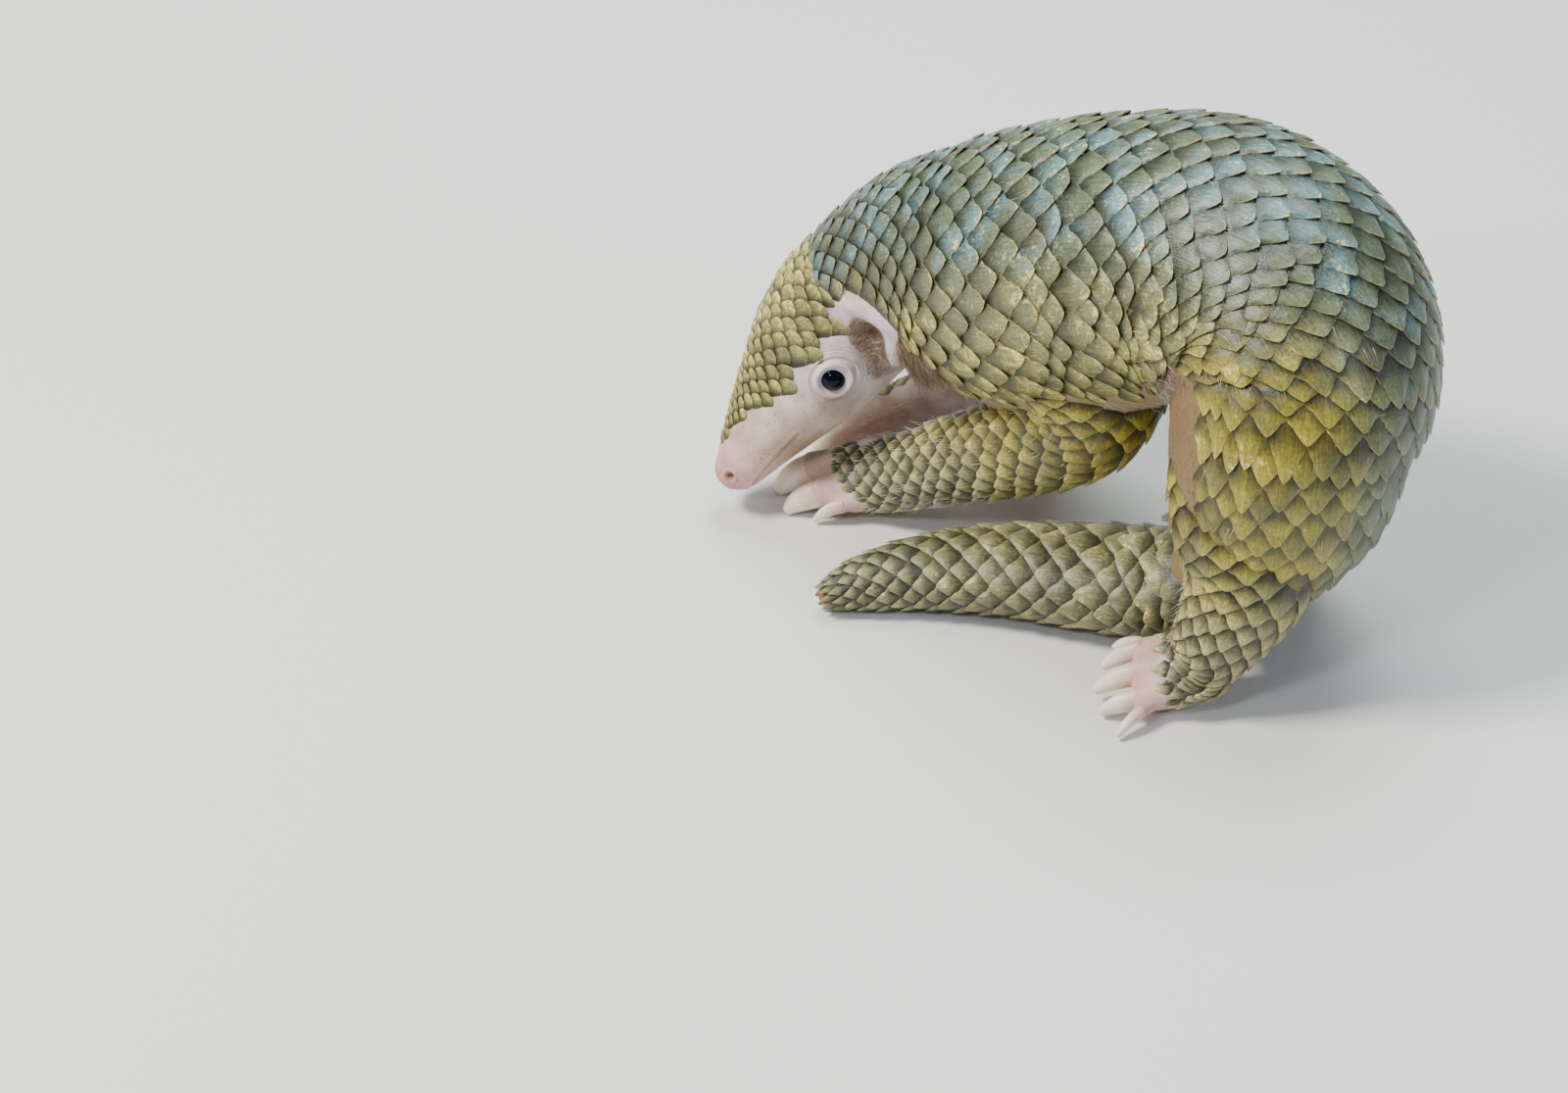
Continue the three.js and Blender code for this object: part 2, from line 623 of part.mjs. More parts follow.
// The origin is the middle of the bounding box, at floor level.
const box = new THREE.Box3().setFromObject(group);
const middle = box.getCenter(new THREE.Vector3());
for (const mesh of group.children) mesh.geometry.translate(-middle.x, -middle.y, -box.min.z);

export default group;
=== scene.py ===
import math
from collections import namedtuple
from functools import partial

import bmesh
import bpy
import numpy as np
from bpy.props import FloatProperty, FloatVectorProperty, IntProperty, PointerProperty
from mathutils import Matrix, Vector


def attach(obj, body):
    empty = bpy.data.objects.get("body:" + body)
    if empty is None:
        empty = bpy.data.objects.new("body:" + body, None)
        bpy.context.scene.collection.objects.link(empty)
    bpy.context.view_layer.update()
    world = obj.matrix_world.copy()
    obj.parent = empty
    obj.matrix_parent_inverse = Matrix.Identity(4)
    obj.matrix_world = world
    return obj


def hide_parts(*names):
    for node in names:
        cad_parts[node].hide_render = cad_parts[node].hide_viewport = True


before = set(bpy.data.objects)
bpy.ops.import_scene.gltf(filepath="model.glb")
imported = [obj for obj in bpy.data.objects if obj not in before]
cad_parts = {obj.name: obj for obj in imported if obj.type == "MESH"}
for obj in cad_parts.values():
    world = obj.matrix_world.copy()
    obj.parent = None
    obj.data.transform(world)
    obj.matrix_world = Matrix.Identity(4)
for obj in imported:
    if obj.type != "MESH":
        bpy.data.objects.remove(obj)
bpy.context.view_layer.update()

bl_info = {
    "name": "Pangolin figure",
    "version": (1, 0, 0),
    "blender": (4, 5, 0),
    "location": "3D View > Sidebar > Pangolin",
    "description": "Dresses a life-size pangolin with skin, horn scales, claws, eyes and hair",
    "category": "Object",
}

MM = 0.001
# The stations below count in millimetres from a point beside the figure; less this, they
# count from the middle of its box, on the floor.
ORIGIN = np.array([-22.506, 73.138, 0.0])

# Each station: centre, direction of the back, half width, height above the centre line and
# depth below it.
TRUNK = [
    (-96, 130, 68, -0.35, 0.1, 1, 23, 25, 21),
    (-84, 127, 80, -0.3, 0.1, 1, 29, 33, 27),
    (-67, 122, 90, -0.15, 0, 1, 36, 41, 35),
    (-46, 112, 97, 0, 0, 1, 44, 48, 44),
    (-25, 100, 106, 0, 0, 1, 49, 51, 48),
    (-2, 86, 118, 0.1, 0, 1, 51, 51, 47),
    (27, 68, 128, 0.4, -0.2, 0.9, 52, 50, 42),
    (45, 52, 121, 0.75, -0.45, 0.5, 52, 48, 42),
    (49, 40, 107, 0.86, -0.5, 0.1, 51, 47, 41),
    (46, 31, 89, 0.86, -0.45, -0.25, 48, 43, 37),
    (44, 28, 66, 0.8, -0.35, -0.5, 39, 37, 32),
    (36, 32, 40, 0.6, -0.2, -0.8, 26, 25, 21),
    (14, 41, 20.5, 0.15, -0.05, -1, 17, 15, 12),
]
TAIL = [
    (36, 32, 40, 0.6, -0.2, -0.8, 19, 18, 15),
    (14, 41, 20.5, 0.15, -0.05, -1, 22, 20, 16),
    (-14, 48, 17, 0, 0, -1, 21.5, 17, 14),
    (-44, 54, 15, 0, 0, -1, 18.5, 15, 12),
    (-72, 55, 12.5, 0, 0, -1, 14.5, 12.5, 10),
    (-94, 51, 10, 0, 0, -1, 9.5, 9.5, 7.5),
    (-107, 46, 8, 0, 0, -1, 3.5, 4.5, 3),
]
HEAD = [
    (-140, 105, 12, -0.7, 0.1, 0.6, 3.5, 3.5, 3.5),
    (-138, 106, 14.5, -0.7, 0.1, 0.6, 7.5, 7, 7),
    (-133, 108, 20, -0.7, 0.1, 0.6, 10, 11, 9.5),
    (-127, 111, 27, -0.7, 0.1, 0.6, 12.5, 15, 12),
    (-118, 115, 38, -0.7, 0.1, 0.6, 17, 21, 16),
    (-109, 119, 49, -0.7, 0.1, 0.7, 22, 26.5, 20),
    (-100, 124, 61, -0.6, 0.1, 0.8, 26, 30, 23.5),
    (-90, 129, 73, -0.5, 0.1, 0.9, 28, 31, 25),
    (-80, 130, 83, -0.3, 0.1, 1, 25, 27, 23),
]
LEGS = {
    "foreleg_left": [
        (-30, 86, 98, 0, -1, 0.2, 22, 18, 18),
        (-15, 70, 86, 0, -1, 0.3, 27, 20, 19),
        (-16, 68, 70, 0.2, -1, 0.3, 22, 18, 17),
        (-39, 80, 48, 0, -1, 0.6, 18, 15.5, 15),
        (-64, 95, 29, 0, -1, 0.9, 15, 12.5, 12.5),
        (-82, 105, 17, -0.1, -0.9, 1, 14, 11, 11),
        (-97, 111, 11, -0.2, -0.6, 1, 13, 9.5, 10),
        (-104, 112, 9, -0.2, -0.5, 1, 11, 8, 9),
    ],
    "foreleg_right": [
        (-18, 130, 96, 0.5, 0.8, 0.2, 18, 16, 16),
        (-14, 139, 78, 0.5, 0.9, 0.3, 20, 17, 17),
        (-16, 142, 62, 0.5, 0.9, 0.3, 17, 15, 15),
        (-31, 146, 43, 0.3, 0.9, 0.6, 15.5, 14, 14),
        (-50, 148, 27, 0.2, 0.9, 0.9, 14.5, 12, 12),
        (-70, 149, 16, 0.1, 0.8, 1, 13.5, 10.5, 10.5),
        (-86, 148, 11, 0, 0.5, 1, 12.5, 9.5, 10),
        (-94, 147, 9, 0, 0.4, 1, 10.5, 8, 9),
    ],
    "hindleg_left": [
        (34, 30, 92, 0.2, -1, 0.3, 27, 22, 22),
        (35, 16, 70, 0.2, -1, 0.1, 27, 23, 20),
        (35, 7, 48, 0.2, -1, 0.3, 22, 19, 17),
        (27, 1, 30, 0.4, -0.8, 0.5, 16.5, 14, 13),
        (20, 0, 18, 0.6, -0.4, 0.8, 13.5, 11, 12),
        (12, 2, 12.5, 0.3, -0.35, 1, 14, 8.5, 12),
        (3, 3, 11, 0.2, -0.35, 1, 13.5, 6.5, 10.5),
    ],
    "hindleg_right": [
        (50, 48, 90, 0.7, 0.7, 0, 27, 22, 22),
        (55, 60, 68, 0.6, 0.8, 0.1, 28, 22, 20),
        (57, 68, 46, 0.6, 0.8, 0.3, 22, 17, 16),
        (52, 74, 29, 0.7, 0.5, 0.5, 15.5, 13.5, 12.5),
        (47, 78, 17, 0.7, 0.1, 0.8, 13, 11, 12),
        (41, 84, 12, 0.3, -0.1, 1, 13.5, 8.5, 12),
        (35, 91, 10.5, 0.2, -0.1, 1, 13, 6.5, 10.5),
    ],
}
# Toes of each paw: root, tip and radius, the first one nearest to the left side.
TOES = {
    "fore_left": [
        ((-92, 98, 8), (-108, 97, 2), 2.2),
        ((-98, 104, 9), (-118, 103, 1.6), 4.3),
        ((-99, 114.5, 11), (-121, 115, 1.6), 5.3),
        ((-97, 123, 8), (-114, 125, 1.2), 3),
        ((-91, 120.5, 9), (-97, 134, 1.5), 2),
    ],
    "fore_right": [
        ((-84, 158.5, 7), (-97, 164, 1.5), 2.1),
        ((-90, 156.5, 8), (-106, 160, 1.5), 2.8),
        ((-88, 149, 10), (-111, 150, 1.2), 5),
        ((-86, 139.5, 8), (-108, 139, 1.2), 4),
        ((-84, 137.5, 8), (-92, 126, 1.5), 1.9),
    ],
    "hind_left": [
        ((5, -9.5, 7), (-8, -21, 2), 2),
        ((9, -8, 8), (-13, -9, 2.5), 3.2),
        ((9, 0, 12), (-14, 0, 4.5), 3.6),
        ((8, 8.5, 14), (-11, 10, 6.5), 3.1),
        ((7, 13, 12), (-7, 20, 7), 2.1),
    ],
    "hind_right": [
        ((33, 82, 11), (15, 94, 5), 2.6),
        ((36, 88, 12), (19, 104, 4.5), 3.3),
        ((42, 94, 11), (28, 112, 3.5), 3.3),
        ((49, 95, 8), (40, 112, 2.5), 2.6),
        ((49, 91.5, 7), (60, 104, 2), 2),
    ],
}

# Places on the head: station number with its fraction, degrees from the crown line, height
# over it. The middle of an eyeball lies below the skin.
EYE_AT = (5.5, 87.5)
EYE_HEIGHT = -2.9
EAR_TRACK = [(7.3, 60, 2), (7.8, 73, 7.5), (7.9, 90, 9), (7.4, 106, 7), (6.6, 116, 2)]
EAR_RADII = [2.4, 3.4, 3.6, 3.4, 2.4]
EAR_HOLLOW_AT = (7.0, 84)
NOSTRIL_AT = (1.3, 72)
MOUTH_TRACK = [(3.9, 108, 0), (3.2, 113, 0), (2.6, 118, 0), (1.8, 130, 0), (1.4, 160, 0)]

SIDES = (("left", 1), ("right", -1))


def smoothstep(x, low, high):
    """From 0 at the low value to 1 at the high one, with soft ends."""
    t = np.clip((np.asarray(x, float) - low) / (high - low), 0, 1)
    return t * t * (3 - 2 * t)


def unit(v):
    return v / np.maximum(np.linalg.norm(v, axis=-1, keepdims=True), 1e-9)


def dots(a, b):
    return np.sum(a * b, axis=-1, keepdims=True)


def distance(points, spot):
    return np.linalg.norm(points - spot, axis=1)


def gauss(away, width):
    """1 at no distance, fading out over about two widths."""
    return np.exp(-(away / width) ** 2)


def curve_through(points, t, centripetal):
    """Points on the Catmull-Rom curve through the given ones, at station numbers t."""
    points = np.asarray(points, float)
    padded = np.vstack([2 * points[0] - points[1], points, 2 * points[-1] - points[-2]])
    k = np.minimum(t.astype(int), len(points) - 2)
    w = (t - k)[:, None]
    p0, p1, p2, p3 = (padded[k + i] for i in range(4))
    if centripetal:
        d0, d1, d2 = (
            np.maximum(np.linalg.norm(b - a, axis=1, keepdims=True), 1e-6) ** 0.5
            for a, b in ((p0, p1), (p1, p2), (p2, p3))
        )
        m1 = d1 * ((p1 - p0) / d0 - (p2 - p0) / (d0 + d1) + (p2 - p1) / d1)
        m2 = d1 * ((p2 - p1) / d1 - (p3 - p1) / (d1 + d2) + (p3 - p2) / d2)
    else:
        m1 = 0.5 * (p2 - p0)
        m2 = 0.5 * (p3 - p1)
    c2 = -3 * p1 + 3 * p2 - 2 * m1 - m2
    c3 = 2 * p1 - 2 * p2 + m1 + m2
    return p1 + w * (m1 + w * (c2 + w * c3))


class Spine:
    """A bent body of smooth sections; a place on it is a station number with a fraction."""

    STEPS = 40

    def __init__(self, stations):
        rows = np.array(stations, float)
        rows[:, :3] -= ORIGIN
        self.last = len(rows) - 1
        self.places = np.linspace(0, self.last, self.last * self.STEPS + 1)
        step = 0.002 * self.last
        self.centre = curve_through(rows[:, :3], self.places, True)
        before = curve_through(rows[:, :3], np.maximum(self.places - step, 0), True)
        after = curve_through(rows[:, :3], np.minimum(self.places + step, self.last), True)
        self.along = unit(after - before)
        up = curve_through(rows[:, 3:6], self.places, False)
        self.up = unit(up - dots(up, self.along) * self.along)
        self.left = np.cross(self.along, self.up)
        self.sizes = curve_through(rows[:, 6:], self.places, False)

    def _at(self, table, places):
        return np.stack([np.interp(places, self.places, column) for column in table.T], axis=-1)

    def section(self, places):
        places = np.asarray(places, float)
        tables = (self.centre, self.along, self.up, self.left, self.sizes)
        return [self._at(table, places) for table in tables]

    def skin(self, places, angles, heights=0.0):
        """Points on the skin; the angle counts from the back line towards the left flank."""
        centre, _, up, left, sizes = self.section(places)
        angles = np.asarray(angles, float)
        heights = np.asarray(heights, float)[..., None]
        c, s = np.cos(angles)[..., None], np.sin(angles)[..., None]
        side, back, belly = (sizes[..., i:i + 1] for i in range(3))
        depth = np.where(c > 0, back, belly)
        normal = unit(up * c / depth + left * s / side)
        return centre + up * c * depth + left * s * side + normal * heights

    def normal(self, places, angles):
        return unit(self.skin(places, angles, 1.0) - self.skin(places, angles, 0.0))

    def rows(self, pitch):
        """Places of the half rows of scales, a pitch apart along the back line."""
        fine = np.linspace(0, self.last, 60 * self.last + 1)
        points = self.skin(fine, np.zeros_like(fine))
        places, travelled = [0.0], 0.0
        for i in range(1, len(fine)):
            travelled += float(np.linalg.norm(points[i] - points[i - 1]))
            if travelled >= pitch(fine[i]):
                places.append(float(fine[i]))
                travelled = 0.0
        return np.array(places)

    def buried(self, points, margin):
        """True for points that lie deeper than a margin inside the body, read at every fourth
        section, 8 mm thick, but for the ends."""
        best = np.full(len(points), 9.0)
        inner = slice(4, len(self.places) - 4, 4)
        tables = [t[inner] for t in (self.centre, self.along, self.up, self.left, self.sizes)]
        for centre, along, up, left, (side, back, belly) in zip(*tables):
            v = points - centre
            near = np.abs(v @ along) < 4.0
            rise, across = v @ up, v @ left
            depth = np.where(rise > 0, back, belly) - margin
            ratio = np.sqrt((rise / depth) ** 2 + (across / (side - margin)) ** 2)
            best = np.where(near, np.minimum(best, ratio), best)
        return best < 1


SPINES = {"trunk": Spine(TRUNK), "tail": Spine(TAIL), "head": Spine(HEAD)}
SPINES.update({name: Spine(stations) for name, stations in LEGS.items()})


def head_point(place, degrees, side, height=0.0):
    return SPINES["head"].skin(place, math.radians(degrees) * side, height)


def head_distance(points, place, degrees, side, height=0.0):
    return distance(points, head_point(place, degrees, side, height))


def round_angle(angle):
    """The angle from the back line, whichever way round."""
    return np.abs(np.arctan2(np.sin(angle), np.cos(angle)))


def linear(code):
    """An sRGB hex colour as linear RGBA."""
    values = [int(code[i:i + 2], 16) / 255 for i in (0, 2, 4)]
    return [v / 12.92 if v <= 0.04045 else ((v + 0.055) / 1.055) ** 2.4 for v in values] + [1.0]


def length_property(name, description, default, least):
    return FloatProperty(
        name=name, description=description, default=default, min=least, subtype="DISTANCE",
        unit="LENGTH",
    )


def colour_property(name, description, code):
    return FloatVectorProperty(
        name=name, description=description, default=linear(code), size=4, min=0, max=1,
        subtype="COLOR",
    )


class PangolinSizes(bpy.types.PropertyGroup):
    """Sizes that a user would change."""

    skin_voxel: length_property("Skin voxel", "Cell size of the fused skin", 0.0017, 0.001)
    scale_thickness: length_property("Scale thickness", "Thickness of a scale", 0.0007, 0.0003)
    row_pitch: length_property("Row pitch", "Between half rows of scales", 0.0067, 0.003)
    eye_radius: length_property("Eye radius", "Radius of an eyeball", 0.005, 0.003)
    hair_radius: length_property("Hair radius", "Radius of a hair's root", 0.00011, 0.00005)
    seed: IntProperty(name="Seed", description="Seed of all random variation", default=7)


class PangolinColours(bpy.types.PropertyGroup):
    """Colours that a user would change."""

    horn_olive: colour_property("Horn, olive", "Lighter clean horn", "465949")
    horn_brown: colour_property("Horn, brown", "Darker clean horn", "3e4339")
    # Painted blue-grey reflection of the sky on the back.
    painted_sheen_blue: colour_property("Horn, blue", "Blue-grey bloom on the back", "2f5967")
    horn_ochre: colour_property("Horn, ochre", "Stained horn of rump and thigh", "796e22")
    horn_pale: colour_property("Horn, pale", "Thin horn of head and legs", "9c9571")
    rim: colour_property("Worn rim", "Free edge of a scale", "b49f68")
    mud: colour_property("Dried mud", "Mud on the scales", "a59d60")
    skin: colour_property("Skin", "Bare skin", "e0c8b8")
    skin_rosy: colour_property("Skin, rosy", "Flush of snout, ears and paws", "d2949a")
    skin_lilac: colour_property("Skin, lilac", "Thin skin of lids, throat and chest", "e8e2ec")
    skin_blotch: colour_property("Skin, blotches", "Tint that mottles the skin", "b98f86")
    skin_pore: colour_property("Skin, pores", "Dark pores of the face", "7a3b3c")
    skin_dusk: colour_property("Skin, dusky", "Skin between and beside scales", "7d6844")
    # Also the painted shadow of nostrils, mouth slit and ear hollows.
    skin_fuzz_and_shade: colour_property("Skin, fuzz", "Skin below short rust hair", "6e4632")
    claw: colour_property("Claw", "Clean claw horn", "f6eedc")
    claw_core: colour_property("Claw core", "Pink quick at a claw's root", "d9a08e")
    claw_streak: colour_property("Claw streaks", "Tint of the grain of a claw", "b7a488")
    eye: colour_property("Eye", "Eyeball", "08070a")
    eye_gloss: colour_property("Eye gloss", "Tint of the reflections in an eye", "8fb8ff")
    hair: colour_property("Hair", "Clean bristles", "e2dccb")
    hair_rust: colour_property("Hair, rust", "Hair in and behind the ears", "8a5c38")
    hair_dark: colour_property("Hair, dark", "Hair of chin and hind paw", "3e3b2b")
    floor: colour_property("Floor", "Studio floor", "dcdad5")


def sizes():
    return bpy.context.scene.pangolin_sizes


def colours():
    return bpy.context.scene.pangolin_colours


def add_node(tree, kind, inputs=None, output=0, **settings):
    """Adds a node with its settings and gives the output asked for; its inputs are values,
    or outputs to link. A Mix of colours has its factor in 0, its colours in 6 and 7, and
    gives output 2."""
    node = tree.nodes.new("ShaderNode" + kind)
    for key, value in settings.items():
        setattr(node, key, value)
    for key, value in (inputs or {}).items():
        if isinstance(value, bpy.types.NodeSocket):
            tree.links.new(value, node.inputs[key])
        else:
            node.inputs[key].default_value = value
    return node.outputs[output] if node.outputs else None


def new_material(name):
    """An empty material, and the call that adds a node to it."""
    material = bpy.data.materials.new(name)
    material.use_nodes = True
    material.node_tree.nodes.clear()
    return material, partial(add_node, material.node_tree)


def horn_material():
    """Keratin scales, grown in fine long ridges, dull with dust and dried mud: a satin,
    olive-grey plate with a paler worn edge."""
    material, add = new_material("keratin_scale")
    c = colours()
    tone, mud, cool, pale, ochre = (
        add("Attribute", {}, "Fac", attribute_name=name)
        for name in ("tone", "mud", "cool", "pale", "ochre")
    )
    cell = add("UVMap", uv_map="Scale")
    across, along = (add("SeparateXYZ", {0: cell}, axis) for axis in "XY")
    aside = add("Math", {0: across, 1: 0.5}, operation="SUBTRACT")
    aside = add("Math", {0: aside}, operation="ABSOLUTE")

    # Ridges 0.7 mm apart: 20 on a scale 14 mm broad, long along it, others on each plate.
    stretched = add("CombineXYZ", {
        axis: add("Math", {0: value, 1: times}, operation="MULTIPLY")
        for axis, value, times in (("X", across, 20.0), ("Y", along, 1.6), ("Z", tone, 90.0))
    })
    ridges = add("TexNoise", {"Vector": stretched, "Scale": 1.0, "Detail": 3.0})
    # A noise of scale 1000 is 1 mm coarse: patches are 14 mm, clods 3 mm, grit 1.1 mm. Real
    # dust is finer than grit, but would not show.
    place = add("TexCoord", {}, "Object")
    patches = add("TexNoise", {"Vector": place, "Scale": 70.0, "Detail": 5.0})
    clods = add(
        "TexNoise", {"Vector": place, "Scale": 330.0, "Detail": 7.0, "Roughness": 0.62},
    )
    grit = add("TexNoise", {"Vector": place, "Scale": 900.0, "Detail": 4.0})

    # Olive to brown by plate, with the painted blue-grey sky reflection of the back, the pale
    # horn of head and legs and the stain of the rump.
    painted_sheen = add("Math", {0: tone, 1: 0.2, 2: patches}, operation="MULTIPLY_ADD")
    painted_sheen = add("Math", {0: cool, 1: 0.45, 2: painted_sheen}, operation="MULTIPLY_ADD")
    painted_sheen = add("MapRange", {"Value": painted_sheen, "From Min": 0.86, "From Max": 1.04, "To Max": 0.9})
    stain = add("Math", {0: patches, 1: 1.2, 2: 0.35}, operation="MULTIPLY_ADD")
    stain = add("Math", {0: ochre, 1: stain}, operation="MULTIPLY")
    base = c.horn_olive
    for share, colour in (
        (tone, c.horn_brown), (painted_sheen, c.painted_sheen_blue), (pale, c.horn_pale), (stain, c.horn_ochre),
    ):
        base = add("Mix", {0: share, 6: base, 7: colour}, 2, data_type="RGBA")

    # Painted shadow at the covered root and painted light towards the tip, with streaks along
    # the plate, clouds over several plates and specks.
    covered = add("Math", {0: aside, 1: -0.7, 2: along}, operation="MULTIPLY_ADD")
    light = add("Math", {0: tone, 1: 0.45, 2: 0.78}, operation="MULTIPLY_ADD")
    for value, low, high, dark, bright in (
        (covered, 0.18, 0.58, 0.22, 1.05), (along, 0.45, 0.95, 0.8, 1.55),
        (ridges, 0.3, 0.7, 0.72, 1.25), (patches, 0.3, 0.7, 0.66, 1.4),
        (grit, 0.35, 0.65, 0.78, 1.24),
    ):
        step = add("MapRange", {
            "Value": value, "From Min": low, "From Max": high, "To Min": dark, "To Max": bright,
        })
        light = add("Math", {0: light, 1: step}, operation="MULTIPLY")
    grey = add("CombineColor", {0: light, 1: light, 2: light})
    base = add("Mix", {0: 1.0, 6: base, 7: grey}, 2, data_type="RGBA", blend_type="MULTIPLY")

    # Rim: the last millimetre of the free edge.
    tip = add("MapRange", {"Value": along, "From Min": 0.95, "From Max": 1.0})
    flank = add("MapRange", {"Value": aside, "From Min": 0.46, "From Max": 0.5})
    rim = add("Math", {0: tip, 1: flank}, operation="MAXIMUM")
    rim = add("Math", {0: rim, 1: 0.42}, operation="MULTIPLY")
    base = add("Mix", {0: rim, 6: base, 7: c.rim}, 2, data_type="RGBA")

    # Mud clings in patches and thickest along the edges.
    crust = add("Math", {0: grit, 1: 0.45, 2: clods}, operation="MULTIPLY_ADD")
    cling = add("Math", {0: rim, 1: 0.25, 2: mud}, operation="MULTIPLY_ADD")
    cling = add("Math", {0: patches, 1: 0.5, 2: cling}, operation="MULTIPLY_ADD")
    cling = add("Math", {0: crust, 1: cling}, operation="ADD")
    mask = add("MapRange", {"Value": cling, "From Min": 1.27, "From Max": 1.37})
    cake = add("Mix", {0: 1.0, 6: grey, 7: c.mud}, 2, data_type="RGBA", blend_type="MULTIPLY")
    cover = add("Math", {0: mask, 1: 0.62}, operation="MULTIPLY")
    base = add("Mix", {0: cover, 6: base, 7: cake}, 2, data_type="RGBA")

    # Satin horn, rough where it is muddy, with ridges and clods up to 0.5 mm high.
    rough = add("Math", {0: grit, 1: 0.4, 2: mask}, operation="MULTIPLY_ADD")
    rough = add("MapRange", {"Value": rough, "From Max": 1.3, "To Min": 0.28, "To Max": 0.85})
    relief = add("Math", {0: crust, 1: 0.6}, operation="MULTIPLY")
    relief = add("Math", {0: ridges, 1: 0.5, 2: relief}, operation="MULTIPLY_ADD")
    bump = add("Bump", {"Height": relief, "Strength": 0.8, "Distance": 0.5 * MM})
    shader = add("BsdfPrincipled", {
        "Base Color": base, "Roughness": rough, "Normal": bump, "IOR": 1.5,
    })
    add("OutputMaterial", {"Surface": shader})
    return material


def hide_material():
    """Thin bare skin with fine creases and pores: soft, pink, slightly shining through."""
    material, add = new_material("bare_hide")
    c = colours()
    rosy, lilac, fuzz_and_shade, pores, dusk = (
        add("Attribute", {}, "Fac", attribute_name=name)
        for name in ("rosy", "lilac", "fuzz_and_shade", "pores", "dusk")
    )
    place = add("TexCoord", {}, "Object")
    # Blotches 9 mm, creases 1.4 mm and pores 1.9 mm apart, and a grain of 0.6 mm.
    blotch = add("TexNoise", {"Vector": place, "Scale": 110.0, "Detail": 5.0})
    creases = add("TexVoronoi", {"Vector": place, "Scale": 700.0}, feature="DISTANCE_TO_EDGE")
    follicle = add("TexVoronoi", {"Vector": place, "Scale": 520.0})
    grain = add("TexNoise", {"Vector": place, "Scale": 1600.0, "Detail": 3.0})
    spread = add("MapRange", {"Value": blotch, "From Min": 0.35, "From Max": 0.65, "To Max": 0.5})
    dot = add("MapRange", {
        "Value": follicle, "From Min": 0.1, "From Max": 0.2, "To Min": 0.75, "To Max": 0.0,
    })
    dot = add("Math", {0: dot, 1: pores}, operation="MULTIPLY")
    base = c.skin
    # The last tint is rust fuzz, and painted shadow in nostrils, mouth and ear hollows.
    for share, colour, blend in (
        (rosy, c.skin_rosy, "MIX"), (lilac, c.skin_lilac, "MIX"),
        (spread, c.skin_blotch, "MULTIPLY"), (dot, c.skin_pore, "MIX"),
        (dusk, c.skin_dusk, "MIX"), (fuzz_and_shade, c.skin_fuzz_and_shade, "MIX"),
    ):
        base = add(
            "Mix", {0: share, 6: base, 7: colour}, 2, data_type="RGBA", blend_type=blend,
        )
    edge = add("MapRange", {"Value": creases, "From Max": 0.12})
    relief = add("Math", {0: edge, 1: grain}, operation="ADD")
    bump = add("Bump", {"Height": relief, "Strength": 0.35, "Distance": 0.3 * MM})
    # Light goes about 1.2 mm deep, red the furthest.
    shader = add("BsdfPrincipled", {
        "Base Color": base, "Roughness": 0.5, "Normal": bump, "IOR": 1.4,
        "Subsurface Weight": 0.2, "Subsurface Radius": (1.0, 0.35, 0.25),
        "Subsurface Scale": 1.2 * MM,
    })
    add("OutputMaterial", {"Surface": shader})
    return material


def claw_material():
    """Claw horn, worn smooth by digging: cream-white, waxy, with the pink quick at its root."""
    material, add = new_material("claw_horn")
    c = colours()
    place = add("TexCoord", {}, "Object")
    reach = add("Attribute", {}, "Fac", attribute_name="reach")
    # Streaks 2 mm apart.
    streaks = add("TexNoise", {"Vector": place, "Scale": 500.0, "Detail": 4.0})
    quick = add("MapRange", {
        "Value": reach, "From Min": 0.12, "From Max": 0.62, "To Min": 0.75, "To Max": 0.0,
    })
    worn = add("Math", {0: streaks, 1: 0.35}, operation="MULTIPLY")
    base = c.claw
    for share, colour, blend in (
        (quick, c.claw_core, "MIX"), (worn, c.claw_streak, "MULTIPLY"),
    ):
        base = add(
            "Mix", {0: share, 6: base, 7: colour}, 2, data_type="RGBA", blend_type=blend,
        )
    bump = add("Bump", {"Height": streaks, "Strength": 0.2, "Distance": 0.3 * MM})
    shader = add("BsdfPrincipled", {
        "Base Color": base, "Roughness": 0.38, "Normal": bump, "IOR": 1.5,
        "Subsurface Weight": 0.15, "Subsurface Radius": (1.0, 0.5, 0.3),
        "Subsurface Scale": 1.0 * MM,
    })
    add("OutputMaterial", {"Surface": shader})
    return material


def eye_material():
    """A wet dark eye: black under a clear film, with a sharp cool highlight."""
    material, add = new_material("wet_eye")
    c = colours()
    shader = add("BsdfPrincipled", {
        "Base Color": c.eye, "Roughness": 0.02, "IOR": 1.38, "Specular Tint": c.eye_gloss,
    })
    add("OutputMaterial", {"Surface": shader})
    return material


def hair_material():
    """Stiff thin hair with a faint gloss, cream, rust or dark olive by its place."""
    material, add = new_material("bristle_hair")
    c = colours()
    base = c.hair
    for name, colour in (("rust", c.hair_rust), ("dark", c.hair_dark)):
        share = add("Attribute", {}, "Fac", attribute_name=name)
        base = add("Mix", {0: share, 6: base, 7: colour}, 2, data_type="RGBA")
    shader = add("BsdfPrincipled", {"Base Color": base, "Roughness": 0.45, "IOR": 1.5})
    add("OutputMaterial", {"Surface": shader})
    return material


def floor_material():
    """Smooth matt studio floor, pale and even, so that nothing competes with the figure."""
    material, add = new_material("studio_floor")
    shader = add("BsdfPrincipled", {
        "Base Color": colours().floor, "Roughness": 0.9, "Specular IOR Level": 0.2,
    })
    add("OutputMaterial", {"Surface": shader})
    return material


def finished_mesh(bm, name):
    """A mesh made of a bmesh, which is freed."""
    mesh = bpy.data.meshes.new(name)
    bm.to_mesh(mesh)
    bm.free()
    return mesh


def new_object(name, mesh, material):
    thing = bpy.data.objects.new(name, mesh)
    bpy.context.scene.collection.objects.link(thing)
    mesh.materials.clear()
    mesh.materials.append(material)
    return thing


